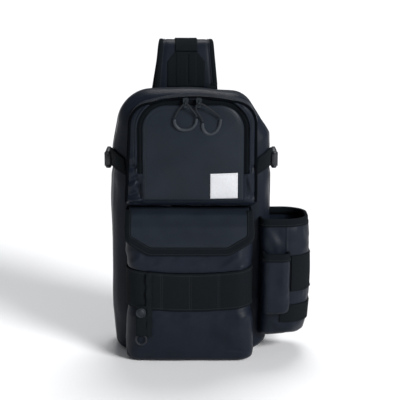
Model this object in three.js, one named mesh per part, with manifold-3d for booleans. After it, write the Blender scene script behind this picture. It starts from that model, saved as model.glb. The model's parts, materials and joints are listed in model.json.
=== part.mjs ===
// A sling bag for fishing tackle, in millimetres. X is across the bag, -Y its front, +Z up.
// The origin is the middle of the flat base that the bag stands on.
import * as THREE from 'three';
import { mergeVertices } from 'three/addons/utils/BufferGeometryUtils.js';
import Module from 'manifold-3d';

const wasm = await Module();
wasm.setup();

// Cloth, tape and webbing
const wall = 2.4;
const gap = 0.3;
const webbing = 1.8;
const tape = 1.2;

// Main compartment
const bodyWidth = 217;
const bodyHeight = 364;
const bodyDepth = 80;
const backPad = 12;
const bodyEdge = 20;
const waistTuck = 4;
const waistRound = 20;
const waistEase = 40;

// Zip over the top of the main compartment
const mainZipWidth = 9;
const mainZipSetback = 16;
const mainZipStart = 190;
const mainSliderPlace = 28;

// Front compartment with its arched zip
const frontMargin = 21;
const frontTopMargin = 2.5;
const frontLift = 5;
const frontDepth = 35;
const frontEdge = 12;
const frontCrown = 3;
const faceWidth = 132.5;
const facePlace = 3.2;
const faceTopMargin = 15.5;
const faceHem = 8;
const faceCorner = 32;
const faceLowCorner = 3;
const zipWidth = 7.5;
const zipLength = 90;
const zipSink = 0.6;

// Zip sliders, their cords and grips
const sliderWidth = 8;
const sliderHeight = 12;
const sliderThickness = 3.6;
const sliderRound = 1.5;
const sliderTaper = 0.6;
const sliderSpacing = 17;
const sliderPlace = 2.2;
const eyeWire = 1.3;
const cordDiameter = 2.2;
const gripDiameter = 4.4;

// Label
const labelWidth = 36;
const labelHeight = 34.5;
const labelInset = 8;
const labelLift = 4;
const labelThickness = 0.8;

// Lower pocket with its flap
const pocketMargin = 24;
const pocketPlace = -2.4;
const pocketHeight = 206;
const pocketDepth = 46;
const pocketCorner = 20;
const pocketMouthDrop = 32;
const flapDrop = 57;
const flapSide = 36;
const flapCut = 36;
const flapTape = 11;
const flapOverhang = 6;
const flapLowRound = 8;
const flapSideRound = 6;

// Load webbing across the lower pocket and the key strap that hangs from it
const loadBand = 52;
const loadBandLevel = 97;
const gearStrapWidth = 7.5;
const gearStrapThickness = 4;
const gearStrapInset = 31.4;
const gearStrapTop = 126;
const gearStrapLow = 38;
const gearTabWidth = 13.5;
const gearTabThickness = 4.6;
const gearTabTop = 80;
const snapDiameter = 13.5;
const snapHeight = 2.6;
const snapLevel = 71.5;
const ringRadius = 7;
const ringWire = 2.4;

// Round pocket for a bottle on the right side
const bottleReach = 52;
const bottleFront = 60;
const bottleRear = 29;
const bottleLow = 26;
const bottleTop = 190;
const bottleHem = 10;
const bottleBury = 40;
const bottleSeam = 16;
const bottleFrontRound = 38;
const bottleRearRound = 34;
const bottleSeamRound = 15;
const bottleSlant = 3;
const wideBand = 50;
const wideBandLevel = 116;
const narrowBand = 25;
const narrowBandLevel = 60;

// Small round pocket for a tool, on the front of the bottle pocket
const toolWidth = 37.5;
const toolPlace = 114;
const toolDepth = 16;
const toolLow = 62;
const toolTop = 146;
const toolHem = 10;
const toolCorner = 11;

// Compression straps and their buckles
const sideStrap = 25;
const sideStrapLevel = 264;
const buckleLength = 32;
const buckleHeight = 27;
const buckleThickness = 9.5;
const buckleSlot = 4;
const buckleBar = 5;
const buckleRound = 4;
const bucklePlace = 4;

// Shoulder strap
const strapWidth = 86;
const strapThickness = 8;
const strapRise = 59;
const strapSetback = 70;
const strapPlace = -7;
const patchWidth = 52;
const strapWebbing = 31;
const tailWebbing = 30;
const ladderLength = 34;
const ladderWidth = 46;
const ladderThickness = 6;
const tailEnd = 62;
const tailSeat = 24;
const tailMargin = 12;
const strapSteps = 30;
const patchFrom = 5;
const patchTo = 9;

// Places that follow from the sizes
const halfWidth = bodyWidth / 2;
const frontY = -bodyDepth / 2;
const backY = bodyDepth / 2;
const seamY = backY - backPad;
const pocketHalf = halfWidth - pocketMargin;
const pocketLeft = pocketPlace - pocketHalf;
const pocketMouth = pocketHeight - pocketMouthDrop;
const gearStrapPlace = pocketLeft + gearStrapInset;
const frontHalf = halfWidth - frontMargin;
const frontLow = pocketHeight + frontLift;
const frontTop = bodyHeight - frontTopMargin;
const frontFaceY = frontY - frontDepth;
const faceLeft = facePlace - faceWidth / 2;
const faceRight = facePlace + faceWidth / 2;
const faceLow = frontLow + faceHem;
const faceTop = frontTop - faceTopMargin;
const zipEnd = faceTop - zipLength;
const onBand = 2 * gap + webbing;
const onZip = 2 * gap + tape;
const eyeRadius = cordDiameter + 2 * gap + eyeWire / 2;

// Outline of the body from the front, counter-clockwise from the bottom right: how far across
// and up each corner lies, and its radius, as shares of half the width, the height and half the width
const bodyCorners = [
  { across: 0.95, up: 0, round: 0.22, steps: 4 },
  { across: 1, up: 0.17, round: 0.6, steps: 1 },
  { across: 0.97, up: 0.83, round: 0.05, steps: 1 },
  { across: 0.66, up: 0.98, round: 0.3, steps: 3 },
  { across: 0, up: 1, round: 2.5, steps: 4 },
  { across: -0.86, up: 0.99, round: 0.66, steps: 6 },
  { across: -1.012, up: 0.16, round: 0.5, steps: 1 },
  { across: -0.96, up: 0, round: 0.14, steps: 3 },
];

// Body from the back seam to the front face: the share of its depth, and how far it draws in
// at the sides, base and top, as shares of its edge
const bodyRows = [
  { along: 0, side: 0.15, low: 0, top: 0.5 },
  { along: 0.25, side: 0, low: 0, top: 0.22 },
  { along: 0.6, side: 0.02, low: 0, top: 0 },
  { along: 0.8, side: 0.12, low: 0, top: 0.08 },
  { along: 0.92, side: 0.4, low: 0.02, top: 0.35 },
  { along: 0.985, side: 0.72, low: 0.1, top: 0.7 },
  { along: 1, side: 1, low: 0.3, top: 1 },
];

// Back pad from the seam to its flat rear face
const padRows = [
  { along: 0, side: 0.15, low: 0, top: 0.5 },
  { along: 0.35, side: 0.1, low: 0.03, top: 0.5 },
  { along: 0.8, side: 0.25, low: 0.2, top: 0.7 },
  { along: 1, side: 0.6, low: 0.6, top: 1.1 },
];

// Outline of the front compartment: shares of its half width and of its height
const frontCorners = [
  { across: -1, up: 0, round: 0.09, steps: 2 },
  { across: 1, up: 0, round: 0.09, steps: 2 },
  { across: 0.99, up: 0.905, round: 0.34, steps: 5 },
  { across: 0, up: 1, round: 4.5, steps: 3 },
  { across: -0.92, up: 0.885, round: 0.34, steps: 5 },
];

// Front compartment from inside the body to its face, drawn in as shares of its edge
const frontRows = [
  { along: 0, draw: 0 },
  { along: 0.8, draw: 0 },
  { along: 0.91, draw: 0.12 },
  { along: 0.97, draw: 0.45 },
  { along: 1, draw: 1 },
];

// Lower pocket from its base to its lid: the share of its height, of its depth and of its half width
const pocketRows = [
  { up: 0, reach: 0.84, wide: 0.98 },
  { up: 0.02, reach: 0.94, wide: 1.02 },
  { up: 0.07, reach: 0.99, wide: 1.03 },
  { up: 0.2, reach: 1.02, wide: 1.005 },
  { up: 0.33, reach: 0.99, wide: 0.985 },
  { up: 0.35, reach: 0.945, wide: 0.97 },
  { up: 0.6, reach: 0.945, wide: 0.97 },
  { up: 0.63, reach: 1.01, wide: 0.985 },
  { up: 0.71, reach: 1.04, wide: 1 },
  { up: 0.8, reach: 1.0, wide: 1 },
  { up: 0.9, reach: 0.86, wide: 0.99 },
  { up: 0.965, reach: 0.62, wide: 0.98 },
  { up: 1, reach: 0.2, wide: 0.97 },
];

// Bottle pocket from its base to its rim: the share of its height and of its section
const bottleRows = [
  { up: 0, size: 0.68 },
  { up: 0.035, size: 0.86 },
  { up: 0.11, size: 0.96 },
  { up: 0.27, size: 1 },
  { up: 0.55, size: 1.02 },
  { up: 0.75, size: 1 },
  { up: 1, size: 0.955 },
];

// Tool pocket from its base to its rim
const toolRows = [
  { up: 0, size: 0.8 },
  { up: 0.06, size: 0.96 },
  { up: 0.3, size: 1 },
  { up: 0.85, size: 1 },
  { up: 1, size: 0.96 },
];

// Shoulder strap along its middle: the share of half the body's width that it lies to the left, and
// the shares of its setback behind the back pad and of its height from the floor to the fold
const strapRoute = [
  { left: 0, behind: 0, up: 0.708 },
  { left: 0, behind: 0, up: 0.79 },
  { left: 0, behind: 0.02, up: 0.87 },
  { left: 0, behind: 0.09, up: 0.945 },
  { left: 0, behind: 0.21, up: 0.988 },
  { left: 0.01, behind: 0.36, up: 0.995 },
  { left: 0.03, behind: 0.52, up: 0.975 },
  { left: 0.06, behind: 0.71, up: 0.92 },
  { left: 0.13, behind: 0.9, up: 0.82 },
  { left: 0.21, behind: 1, up: 0.7 },
  { left: 0.31, behind: 0.98, up: 0.585 },
  { left: 0.41, behind: 0.87, up: 0.49 },
];

// Width of the padded strap along its length, as shares of its full width
const strapTaper = [
  { along: 0, wide: 1 },
  { along: 0.18, wide: 1 },
  { along: 0.36, wide: 0.86 },
  { along: 0.75, wide: 0.84 },
  { along: 0.92, wide: 0.62 },
  { along: 1, wide: 0.48 },
];

// Woven patch on the strap: its width's share along it
const patchTaper = [
  { along: 0, wide: 1 },
  { along: 0.75, wide: 1 },
  { along: 1, wide: 0.6 },
];

// Cord pulls: the middle line of each cord and each grip, from its left end, as offsets from the
// slider's eye across the face and down it
const pulls = {
  left: {
    cord: [[-14.5, -19], [-11, -12], [-6, -5], [-1.5, -0.6], [1.5, -0.6], [6, -6], [12, -13], [14, -18]],
    grip: [[-14.6, -20.6], [-14, -27], [-9, -33.2], [-1.5, -35], [7, -33], [12.6, -27], [14.1, -19.8]],
  },
  right: {
    cord: [[5, -24], [1.5, -16.5], [-2.6, -10.5], [-3.9, -5.2], [-2.6, -1.9], [0.8, -0.5], [6.2, -2.3],
      [13, -7], [20, -12], [27, -18.6]],
    grip: [[4.6, -25.6], [5.4, -33], [9.5, -39], [15.5, -40.6], [21.5, -37.5], [26.4, -30], [28.2, -20.4]],
  },
};

// Geometry helpers

function solidOf(geometry) {
  const bare = geometry.clone();
  bare.deleteAttribute('normal');
  bare.deleteAttribute('uv');
  const merged = mergeVertices(bare, 1e-4);
  const vertProperties = new Float32Array(merged.attributes.position.array);
  const triVerts = new Uint32Array(merged.index.array);
  return new wasm.Manifold(new wasm.Mesh({ numProp: 3, vertProperties, triVerts }));
}

function geometryOf(solid) {
  const mesh = solid.getMesh();
  const geometry = new THREE.BufferGeometry();
  geometry.setAttribute('position', new THREE.BufferAttribute(new Float32Array(mesh.vertProperties), 3));
  geometry.setIndex(new THREE.BufferAttribute(new Uint32Array(mesh.triVerts), 1));
  geometry.computeVertexNormals();
  return geometry;
}

function middleOf(points) {
  const sum = [0, 0, 0];
  points.forEach((point) => point.forEach((value, axis) => {
    sum[axis] += value / points.length;
  }));
  return sum;
}

function volumeOf(points, faces) {
  const corner = (index) => new THREE.Vector3(...points[index]);
  return faces.reduce((sum, [a, b, c]) => sum + corner(a).dot(corner(b).cross(corner(c))), 0);
}

// A closed solid through rings that have the same number of points, its ends closed to a point each
function lofted(rings, lastPole = middleOf(rings.at(-1))) {
  const count = rings[0].length;
  const points = [...rings.flat(), middleOf(rings[0]), lastPole];
  const faces = [];
  for (let ring = 0; ring < rings.length - 1; ring += 1) {
    for (let i = 0; i < count; i += 1) {
      const next = (i + 1) % count;
      const here = ring * count;
      const there = here + count;
      faces.push([here + i, here + next, there + next], [here + i, there + next, there + i]);
    }
  }
  const last = (rings.length - 1) * count;
  for (let i = 0; i < count; i += 1) {
    const next = (i + 1) % count;
    faces.push([next, i, points.length - 2], [last + i, last + next, points.length - 1]);
  }
  const facing = volumeOf(points, faces) > 0 ? faces : faces.map(([a, b, c]) => [a, c, b]);
  const geometry = new THREE.BufferGeometry();
  geometry.setAttribute('position', new THREE.BufferAttribute(new Float32Array(points.flat()), 3));
  geometry.setIndex(facing.flat());
  return solidOf(geometry);
}

// A flat outline with each corner turned by an arc of the given radius, or as much of it as fits
function roundedOutline(corners) {
  return corners.flatMap(({ x, y, radius, steps }, index) => {
    const point = new THREE.Vector2(x, y);
    if (!radius) return [[x, y]];
    const before = corners.at(index - 1);
    const after = corners[(index + 1) % corners.length];
    const back = new THREE.Vector2(before.x, before.y).sub(point);
    const ahead = new THREE.Vector2(after.x, after.y).sub(point);
    const room = 0.49 * Math.min(back.length(), ahead.length());
    const turn = back.angleTo(ahead);
    const reach = Math.min(radius / Math.tan(turn / 2), room);
    const arcRadius = reach * Math.tan(turn / 2);
    back.normalize();
    ahead.normalize();
    const inward = back.clone().add(ahead).normalize();
    const centre = point.clone().addScaledVector(inward, Math.hypot(arcRadius, reach));
    const from = point.clone().addScaledVector(back, reach).sub(centre);
    const to = point.clone().addScaledVector(ahead, reach).sub(centre);
    const sweep = Math.PI - turn;
    return Array.from({ length: steps + 1 }, (_, step) => {
      const share = step / steps;
      const spot = centre.clone();
      spot.addScaledVector(from, Math.sin((1 - share) * sweep) / Math.sin(sweep));
      spot.addScaledVector(to, Math.sin(share * sweep) / Math.sin(sweep));
      return [spot.x, spot.y];
    });
  });
}

// The corners of a counter-clockwise outline moved inward by a distance, or outward if it is below zero
function inset(corners, distance) {
  return corners.map((corner, index) => {
    const before = corners.at(index - 1);
    const after = corners[(index + 1) % corners.length];
    const back = new THREE.Vector2(before.x - corner.x, before.y - corner.y).normalize();
    const ahead = new THREE.Vector2(after.x - corner.x, after.y - corner.y).normalize();
    const shift = distance / ahead.cross(back);
    const radius = corner.radius ? Math.max(corner.radius - distance, gap) : 0;
    return {
      ...corner,
      x: corner.x + (back.x + ahead.x) * shift,
      y: corner.y + (back.y + ahead.y) * shift,
      radius,
    };
  });
}

// An outline drawn in within its own box at the sides, below and above
function drawnIn(outline, side, low, top) {
  const xs = outline.map(([x]) => x);
  const zs = outline.map(([, z]) => z);
  const half = (Math.max(...xs) - Math.min(...xs)) / 2;
  const centre = Math.min(...xs) + half;
  const base = Math.min(...zs);
  const tall = Math.max(...zs) - base;
  const across = 1 - side / half;
  const up = 1 - (low + top) / tall;
  return outline.map(([x, z]) => [centre + (x - centre) * across, base + low + (z - base) * up]);
}

const standing = (outline, y) => outline.map(([x, z]) => [x, y, z]);
const level = (outline, z) => outline.map(([x, y]) => [x, y, z]);

function prism(corners, front, back) {
  const outline = roundedOutline(corners);
  return lofted([standing(outline, front), standing(outline, back)]);
}

function block([left, front, low], [right, back, top]) {
  const box = new THREE.BoxGeometry(right - left, back - front, top - low);
  box.translate((left + right) / 2, (front + back) / 2, (low + top) / 2);
  return solidOf(box);
}

const cut = (solid, ...others) => others.reduce((rest, other) => rest.subtract(other), solid);
const common = (solid, ...others) => others.reduce((rest, other) => rest.intersect(other), solid);
const joined = (solid, ...others) => others.reduce((whole, other) => whole.add(other), solid);

// All that lies between two heights
const far = 1000;
const slab = (low, top) => block([-far, -far, low], [far, far, top]);

// A band between two offsets of the same volume: the outer one less the inner one
const layer = (volume, outer, inner) => cut(volume(outer), volume(inner));

function tube(path, diameter, steps, sides) {
  const curve = new THREE.CatmullRomCurve3(path.map((point) => new THREE.Vector3(...point)));
  const section = new THREE.Shape();
  section.absarc(0, 0, diameter / 2, 0, 2 * Math.PI);
  const points = section.getSpacedPoints(sides).slice(0, sides);
  const shape = new THREE.Shape(points);
  return new THREE.ExtrudeGeometry(shape, { steps, extrudePath: curve, bevelEnabled: false });
}

// A value read along a table of rows that hold a place and a value
function along(rows, key, place) {
  const next = rows.findIndex((row) => row.along >= place);
  if (next <= 0) return rows[Math.max(next, 0)][key];
  const [a, b] = [rows[next - 1], rows[next]];
  return a[key] + ((b[key] - a[key]) * (place - a.along)) / (b.along - a.along);
}

// Volumes of the soft pieces, moved inward by an offset

function bodyOutline() {
  const beside = 0.75 * sideStrap;
  const tuck = [
    { x: 1, z: -beside, radius: waistEase, steps: 1 },
    { x: 1 - waistTuck / halfWidth, z: 0, radius: waistRound, steps: 2 },
    { x: 0.993, z: beside, radius: waistEase, steps: 1 },
  ];
  const place = ({ across, up, round, steps }) => ({
    x: across * halfWidth,
    y: up * bodyHeight,
    radius: round * halfWidth,
    steps,
  });
  const tucked = (side) => tuck.map(({ x, z, radius, steps }) => ({
    x: side * x * halfWidth,
    y: sideStrapLevel + z,
    radius,
    steps,
  }));
  const corners = bodyCorners.map(place);
  const right = corners.slice(0, 2);
  const top = corners.slice(2, 6);
  const left = corners.slice(6);
  return roundedOutline([...right, ...tucked(1), ...top, ...tucked(-1).reverse(), ...left]);
}

function bodyVolume(offset, back = backY) {
  const outline = bodyOutline();
  const rings = bodyRows.map(({ along: share, side, low, top }) => {
    const y = share === 0 ? back : seamY + (frontY + offset - seamY) * share;
    const draw = (part) => part * bodyEdge + offset;
    return standing(drawnIn(outline, draw(side), draw(low), draw(top)), y);
  });
  return lofted(rings);
}

function padVolume(offset) {
  const outline = bodyOutline();
  const rings = padRows.map(({ along: share, side, low, top }) => {
    const draw = (part) => part * bodyEdge + offset;
    const y = seamY + share * (backPad - offset);
    return standing(drawnIn(outline, draw(side), low * bodyEdge, draw(top)), y);
  });
  return lofted(rings);
}

function frontOutline() {
  const tall = frontTop - frontLow;
  const corners = frontCorners.map(({ across, up, round, steps }) => ({
    x: across * frontHalf,
    y: frontLow + up * tall,
    radius: round * frontHalf,
    steps,
  }));
  return roundedOutline(corners);
}

function frontVolume(offset) {
  const outline = frontOutline();
  const inside = frontY + bodyEdge;
  const face = frontFaceY + offset;
  const rings = frontRows.map(({ along: share, draw }) => {
    const amount = draw * frontEdge + offset;
    return standing(drawnIn(outline, amount, amount, amount), inside + (face - inside) * share);
  });
  const half = frontHalf / 2;
  const quarter = (frontTop - frontLow) / 4;
  rings.push(standing(drawnIn(outline, half, quarter, quarter), face - 0.8 * frontCrown));
  const middle = middleOf(rings.at(-1));
  return lofted(rings, [middle[0], face - frontCrown, middle[2]]);
}

function pocketVolume(offset) {
  const base = Math.max(offset, 0);
  const tall = pocketHeight - base - offset;
  const rings = pocketRows.map(({ up, reach, wide }) => {
    const half = wide * pocketHalf - offset;
    const front = frontY - reach * pocketDepth + offset;
    const inside = frontY + wall + pocketCorner;
    const radius = Math.min(pocketCorner, half / 2) - Math.min(offset, pocketCorner / 2);
    const plan = roundedOutline([
      { x: pocketPlace - half, y: inside },
      { x: pocketPlace - half, y: front, radius, steps: 4 },
      { x: pocketPlace + half, y: front, radius, steps: 4 },
      { x: pocketPlace + half, y: inside },
    ]);
    return level(plan, base + up * tall);
  });
  return lofted(rings);
}

// Where the front of the lower pocket lies at a height
function pocketFront(height, offset) {
  const rows = pocketRows.map(({ up, reach }) => ({ along: up * pocketHeight, reach }));
  return frontY - along(rows, 'reach', height) * pocketDepth + offset;
}

function bottleVolume(offset, rise = 0) {
  const right = halfWidth + bottleReach;
  const middleY = (bottleRear - bottleFront) / 2;
  const inner = halfWidth - bottleSeam;
  const corners = [
    { x: halfWidth - bottleBury, y: frontY + bottleSeam / 2 },
    { x: inner, y: frontY + bottleSlant },
    { x: inner + bottleSlant, y: -bottleFront, radius: bottleSeamRound, steps: 3 },
    { x: right, y: bottleSlant - bottleFront, radius: bottleFrontRound, steps: 6 },
    { x: right, y: bottleRear, radius: bottleRearRound, steps: 6 },
    { x: halfWidth - bottleBury, y: bottleRear - bottleSlant },
  ];
  const plan = roundedOutline(inset(corners, offset));
  const base = bottleLow + Math.max(offset, 0);
  const tall = bottleTop - base;
  const rings = bottleRows.map(({ up, size }) => {
    const grown = ([x, y]) => {
      const free = x > halfWidth || y < frontY || y > 0;
      return [halfWidth + (x - halfWidth) * (x > halfWidth ? size : 1), middleY + (y - middleY) * (free ? size : 1)];
    };
    return level(plan.map(grown), base + up * tall + (up === 1 ? rise : 0));
  });
  return lofted(rings);
}

function toolVolume(offset, rise = 0) {
  const half = toolWidth / 2;
  const front = -bottleFront - toolDepth;
  const corners = [
    { x: toolPlace - half, y: frontY },
    { x: toolPlace - half, y: front, radius: toolCorner, steps: 3 },
    { x: toolPlace + half, y: front, radius: toolCorner, steps: 3 },
    { x: toolPlace + half, y: frontY },
  ];
  const plan = roundedOutline(inset(corners, offset));
  const base = toolLow + Math.max(offset, 0);
  const tall = toolTop - base;
  const rings = toolRows.map(({ up, size }) => {
    const grown = ([x, y]) => [toolPlace + (x - toolPlace) * size, frontY + (y - frontY) * size];
    return level(plan.map(grown), base + up * tall + (up === 1 ? rise : 0));
  });
  return lofted(rings);
}

// Colours and finishes

const finish = (color, roughness, metalness = 0) => ({ color, roughness, metalness });
const coated = finish(0x1d2129, 0.5);
const smooth = finish(0x22262f, 0.42);
const woven = finish(0x111416, 0.85);
const plastic = finish(0x14171a, 0.38);
const metal = finish(0x6d7075, 0.35, 0.8);
const white = finish(0xd9d9dc, 0.7);
const padding = finish(0x181b21, 0.8);

const bag = new THREE.Group();

function place(name, shape, material) {
  const geometry = shape.isBufferGeometry ? shape : geometryOf(shape);
  const mesh = new THREE.Mesh(geometry, new THREE.MeshStandardMaterial(material));
  mesh.name = name;
  bag.add(mesh);
}

// Main compartment

function addBody() {
  const shell = cut(bodyVolume(0, seamY - gap), bodyVolume(wall, seamY + backPad));
  place('main_body', shell, coated);
  place('back_panel', padVolume(0), padding);
}

function addMainZip() {
  const middle = seamY - mainZipSetback;
  const reach = block([-far, middle - mainZipWidth / 2, mainZipStart], [far, middle + mainZipWidth / 2, far]);
  place('main_zip', common(layer(bodyVolume, -gap - tape, -gap), reach), woven);
  const half = sliderWidth / 2;
  const lift = sliderThickness + onZip;
  const slider = block(
    [mainSliderPlace - sliderHeight / 2, middle - half, bodyHeight - bodyEdge],
    [mainSliderPlace + sliderHeight / 2, middle + half, bodyHeight + lift],
  );
  place('main_zip_slider', common(cut(slider, bodyVolume(-onZip)), bodyVolume(-lift)), plastic);
}

// Front compartment

const faceCorners = [
  { x: faceLeft, y: faceLow, radius: faceLowCorner, steps: 1 },
  { x: faceRight, y: faceLow, radius: faceLowCorner, steps: 1 },
  { x: faceRight, y: faceTop, radius: faceCorner, steps: 6 },
  { x: faceLeft, y: faceTop, radius: faceCorner, steps: 6 },
];
const facePrism = (grow) => prism(inset(faceCorners, -grow), -far, frontY - 2 * wall);

function addFront() {
  const body = bodyVolume(-gap);
  const above = slab(zipEnd, far);
  const zipHole = common(facePrism(zipWidth), above);
  const shell = cut(frontVolume(0), frontVolume(wall), facePrism(gap), zipHole, body);
  place('front_pocket', shell, coated);
  place('front_face', common(cut(frontVolume(0), frontVolume(wall)), facePrism(0)), smooth);
  const strip = cut(facePrism(zipWidth - gap), facePrism(gap));
  const zip = common(layer(frontVolume, zipSink, zipSink + tape), strip, slab(zipEnd + gap, far));
  place('front_zip', zip, woven);
}

function sliderEye(side) {
  const x = sliderPlace + (side * sliderSpacing) / 2;
  const z = faceTop + zipWidth / 2;
  return [x, frontFaceY - sliderThickness, z];
}

function addSlider(name, side) {
  const [x, , z] = sliderEye(side);
  const half = sliderWidth / 2;
  const tall = sliderHeight / 2;
  const corners = [
    { x: x - half * sliderTaper, y: z - tall },
    { x: x + half * sliderTaper, y: z - tall },
    { x: x + half, y: z + tall },
    { x: x - half, y: z + tall },
  ].map((corner) => ({ ...corner, radius: sliderRound, steps: 2 }));
  const front = frontFaceY - frontCrown - sliderThickness;
  const plate = cut(prism(corners, front, frontY - wall), frontVolume(-gap));
  const eye = new THREE.TorusGeometry(eyeRadius, eyeWire / 2, 6, 12);
  eye.rotateY(Math.PI / 2);
  eye.translate(x, front, z);
  const arch = cut(solidOf(eye), block([-far, front + eyeWire / 2, -far], [far, far, far]));
  place(name, joined(plate, arch), plastic);
}

function addPull(side, { cord, grip }, sign) {
  const [x, , z] = sliderEye(sign);
  const front = frontFaceY - frontCrown - sliderThickness;
  const eyeY = front - cordDiameter / 2 - gap;
  const restY = frontFaceY - frontCrown - gripDiameter / 2 - gap;
  const lowest = Math.min(...grip.map(([, down]) => down));
  const lay = ([across, down]) => [x + across, eyeY + (restY - eyeY) * Math.min(1, down / lowest), z + down];
  place(`pull_cord_${side}`, tube(cord.map(lay), cordDiameter, 18, 8), woven);
  place(`pull_grip_${side}`, tube(grip.map(lay), gripDiameter, 14, 8), plastic);
}

function addLabel() {
  const right = faceRight - labelInset;
  const low = faceLow + labelLift;
  const corners = [
    { x: right - labelWidth, y: low },
    { x: right, y: low },
    { x: right, y: low + labelHeight },
    { x: right - labelWidth, y: low + labelHeight },
  ];
  const patch = layer(frontVolume, -gap - labelThickness, -gap);
  place('label_patch', common(patch, prism(corners, -far, frontFaceY + frontDepth / 2)), white);
}

// Lower pocket

function addLowerPocket() {
  const body = bodyVolume(-gap);
  const shell = cut(pocketVolume(0), pocketVolume(wall), slab(pocketMouth, far), body);
  place('lower_pocket', shell, coated);
  const low = pocketHeight - flapDrop;
  const wide = pocketHalf + flapOverhang;
  const corners = [
    { x: flapCut - wide, y: low, radius: flapLowRound, steps: 2 },
    { x: wide - flapCut, y: low, radius: flapLowRound, steps: 2 },
    { x: wide, y: pocketHeight - flapSide, radius: flapSideRound, steps: 2 },
    { x: wide, y: pocketHeight + flapDrop },
    { x: -wide, y: pocketHeight + flapDrop },
    { x: -wide, y: pocketHeight - flapSide, radius: flapSideRound, steps: 2 },
  ].map((corner) => ({ ...corner, x: pocketPlace + corner.x }));
  const outer = prism(corners, -far, frontY + wall);
  const inner = prism(inset(corners, flapTape), -far, frontY + wall);
  const clear = prism(inset(corners, flapTape - gap), -far, frontY + wall);
  const shelf = slab(0, frontLow - gap);
  const cloth = common(layer(pocketVolume, -gap - wall, -gap), inner, shelf);
  place('flap', cut(cloth, body), smooth);
  const binding = common(layer(pocketVolume, -gap - wall - tape, -gap), outer, shelf);
  place('flap_binding', cut(binding, clear, body), woven);
}

function addLoadWebbing() {
  const body = bodyVolume(-gap);
  const half = loadBand / 2;
  const band = common(
    layer(pocketVolume, -gap - webbing, -gap),
    slab(loadBandLevel - half, loadBandLevel + half),
    block([-far, -far, 0], [far, frontY, far]),
  );
  place('gear_webbing', cut(band, body), woven);
  const strapHalf = gearStrapWidth / 2;
  const strap = common(
    layer(pocketVolume, -onBand - gearStrapThickness, -onBand),
    block([gearStrapPlace - strapHalf, -far, gearStrapLow], [gearStrapPlace + strapHalf, frontY, gearStrapTop]),
  );
  place('gear_strap', strap, woven);
}

function addGearTab() {
  const right = gearStrapPlace - gearStrapWidth / 2 - gap;
  const left = right - gearTabWidth;
  const middle = (left + right) / 2;
  const tab = common(
    layer(pocketVolume, -onBand - gearTabThickness, -onBand),
    block([left, -far, gearStrapLow], [right, frontY, gearTabTop]),
  );
  const ringLevel = gearStrapLow + ringWire - ringRadius + gap;
  const ringY = pocketFront(gearStrapLow, -onBand - gearTabThickness / 2);
  const ring = (wire) => {
    const torus = new THREE.TorusGeometry(ringRadius, wire / 2, 8, 18);
    torus.rotateX(Math.PI / 2);
    torus.translate(middle, ringY, ringLevel);
    return solidOf(torus);
  };
  place('gear_tab', cut(tab, ring(ringWire + 2 * gap)), woven);
  place('gear_ring', ring(ringWire), plastic);
  const profile = [[0, 0], [0.5, 0], [0.5, 0.35], [0.38, 0.8], [0.2, 1], [0, 1]].map(
    ([out, up]) => new THREE.Vector2(out * snapDiameter, up * snapHeight),
  );
  const cap = new THREE.LatheGeometry(profile, 20);
  cap.rotateX(Math.PI);
  const tabFace = -onBand - gearTabThickness - gap;
  const low = pocketFront(snapLevel - snapDiameter / 2, tabFace);
  const high = pocketFront(snapLevel + snapDiameter / 2, tabFace);
  cap.translate(middle, 0, snapLevel);
  const turned = solidOf(cap);
  const box = turned.boundingBox();
  const lift = Math.min(low, high, pocketFront(snapLevel, tabFace)) - box.max[1];
  place('snap_cap', turned.translate([0, lift, 0]), metal);
}

// Bottle pocket and tool pocket

function addBottlePocket() {
  const others = [bodyVolume(-gap), pocketVolume(-onBand), frontVolume(-gap)];
  const shell = cut(bottleVolume(0), bottleVolume(wall, far));
  const hemLow = bottleTop - bottleHem;
  place('bottle_pocket', cut(shell, slab(hemLow - gap, far), ...others), coated);
  const hem = cut(bottleVolume(-tape), bottleVolume(wall, far), slab(-far, hemLow));
  place('bottle_binding', cut(hem, ...others), woven);
  const tool = toolVolume(-tape - gap);
  const beyond = block([toolPlace + toolWidth / 2 + gap, -far, 0], [far, far, far]);
  const behind = block([halfWidth - far, 0, 0], [far, far, far]);
  const band = (name, width, middle) => {
    const strip = common(
      layer(bottleVolume, -gap - webbing, -gap),
      slab(middle - width / 2, middle + width / 2),
      joined(beyond, behind),
    );
    place(name, cut(strip, tool, ...others), woven);
  };
  band('bottle_band_wide', wideBand, wideBandLevel);
  band('bottle_band_narrow', narrowBand, narrowBandLevel);
}

function addToolPocket() {
  const others = [bodyVolume(-gap), bottleVolume(-gap), pocketVolume(-onBand)];
  const shell = cut(toolVolume(0), toolVolume(wall, far));
  const hemLow = toolTop - toolHem;
  place('tool_pocket', cut(shell, slab(hemLow - gap, far), ...others), coated);
  const hem = cut(toolVolume(-tape), toolVolume(wall, far), slab(-far, hemLow));
  place('tool_binding', cut(hem, ...others), woven);
}

// Compression straps

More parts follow.
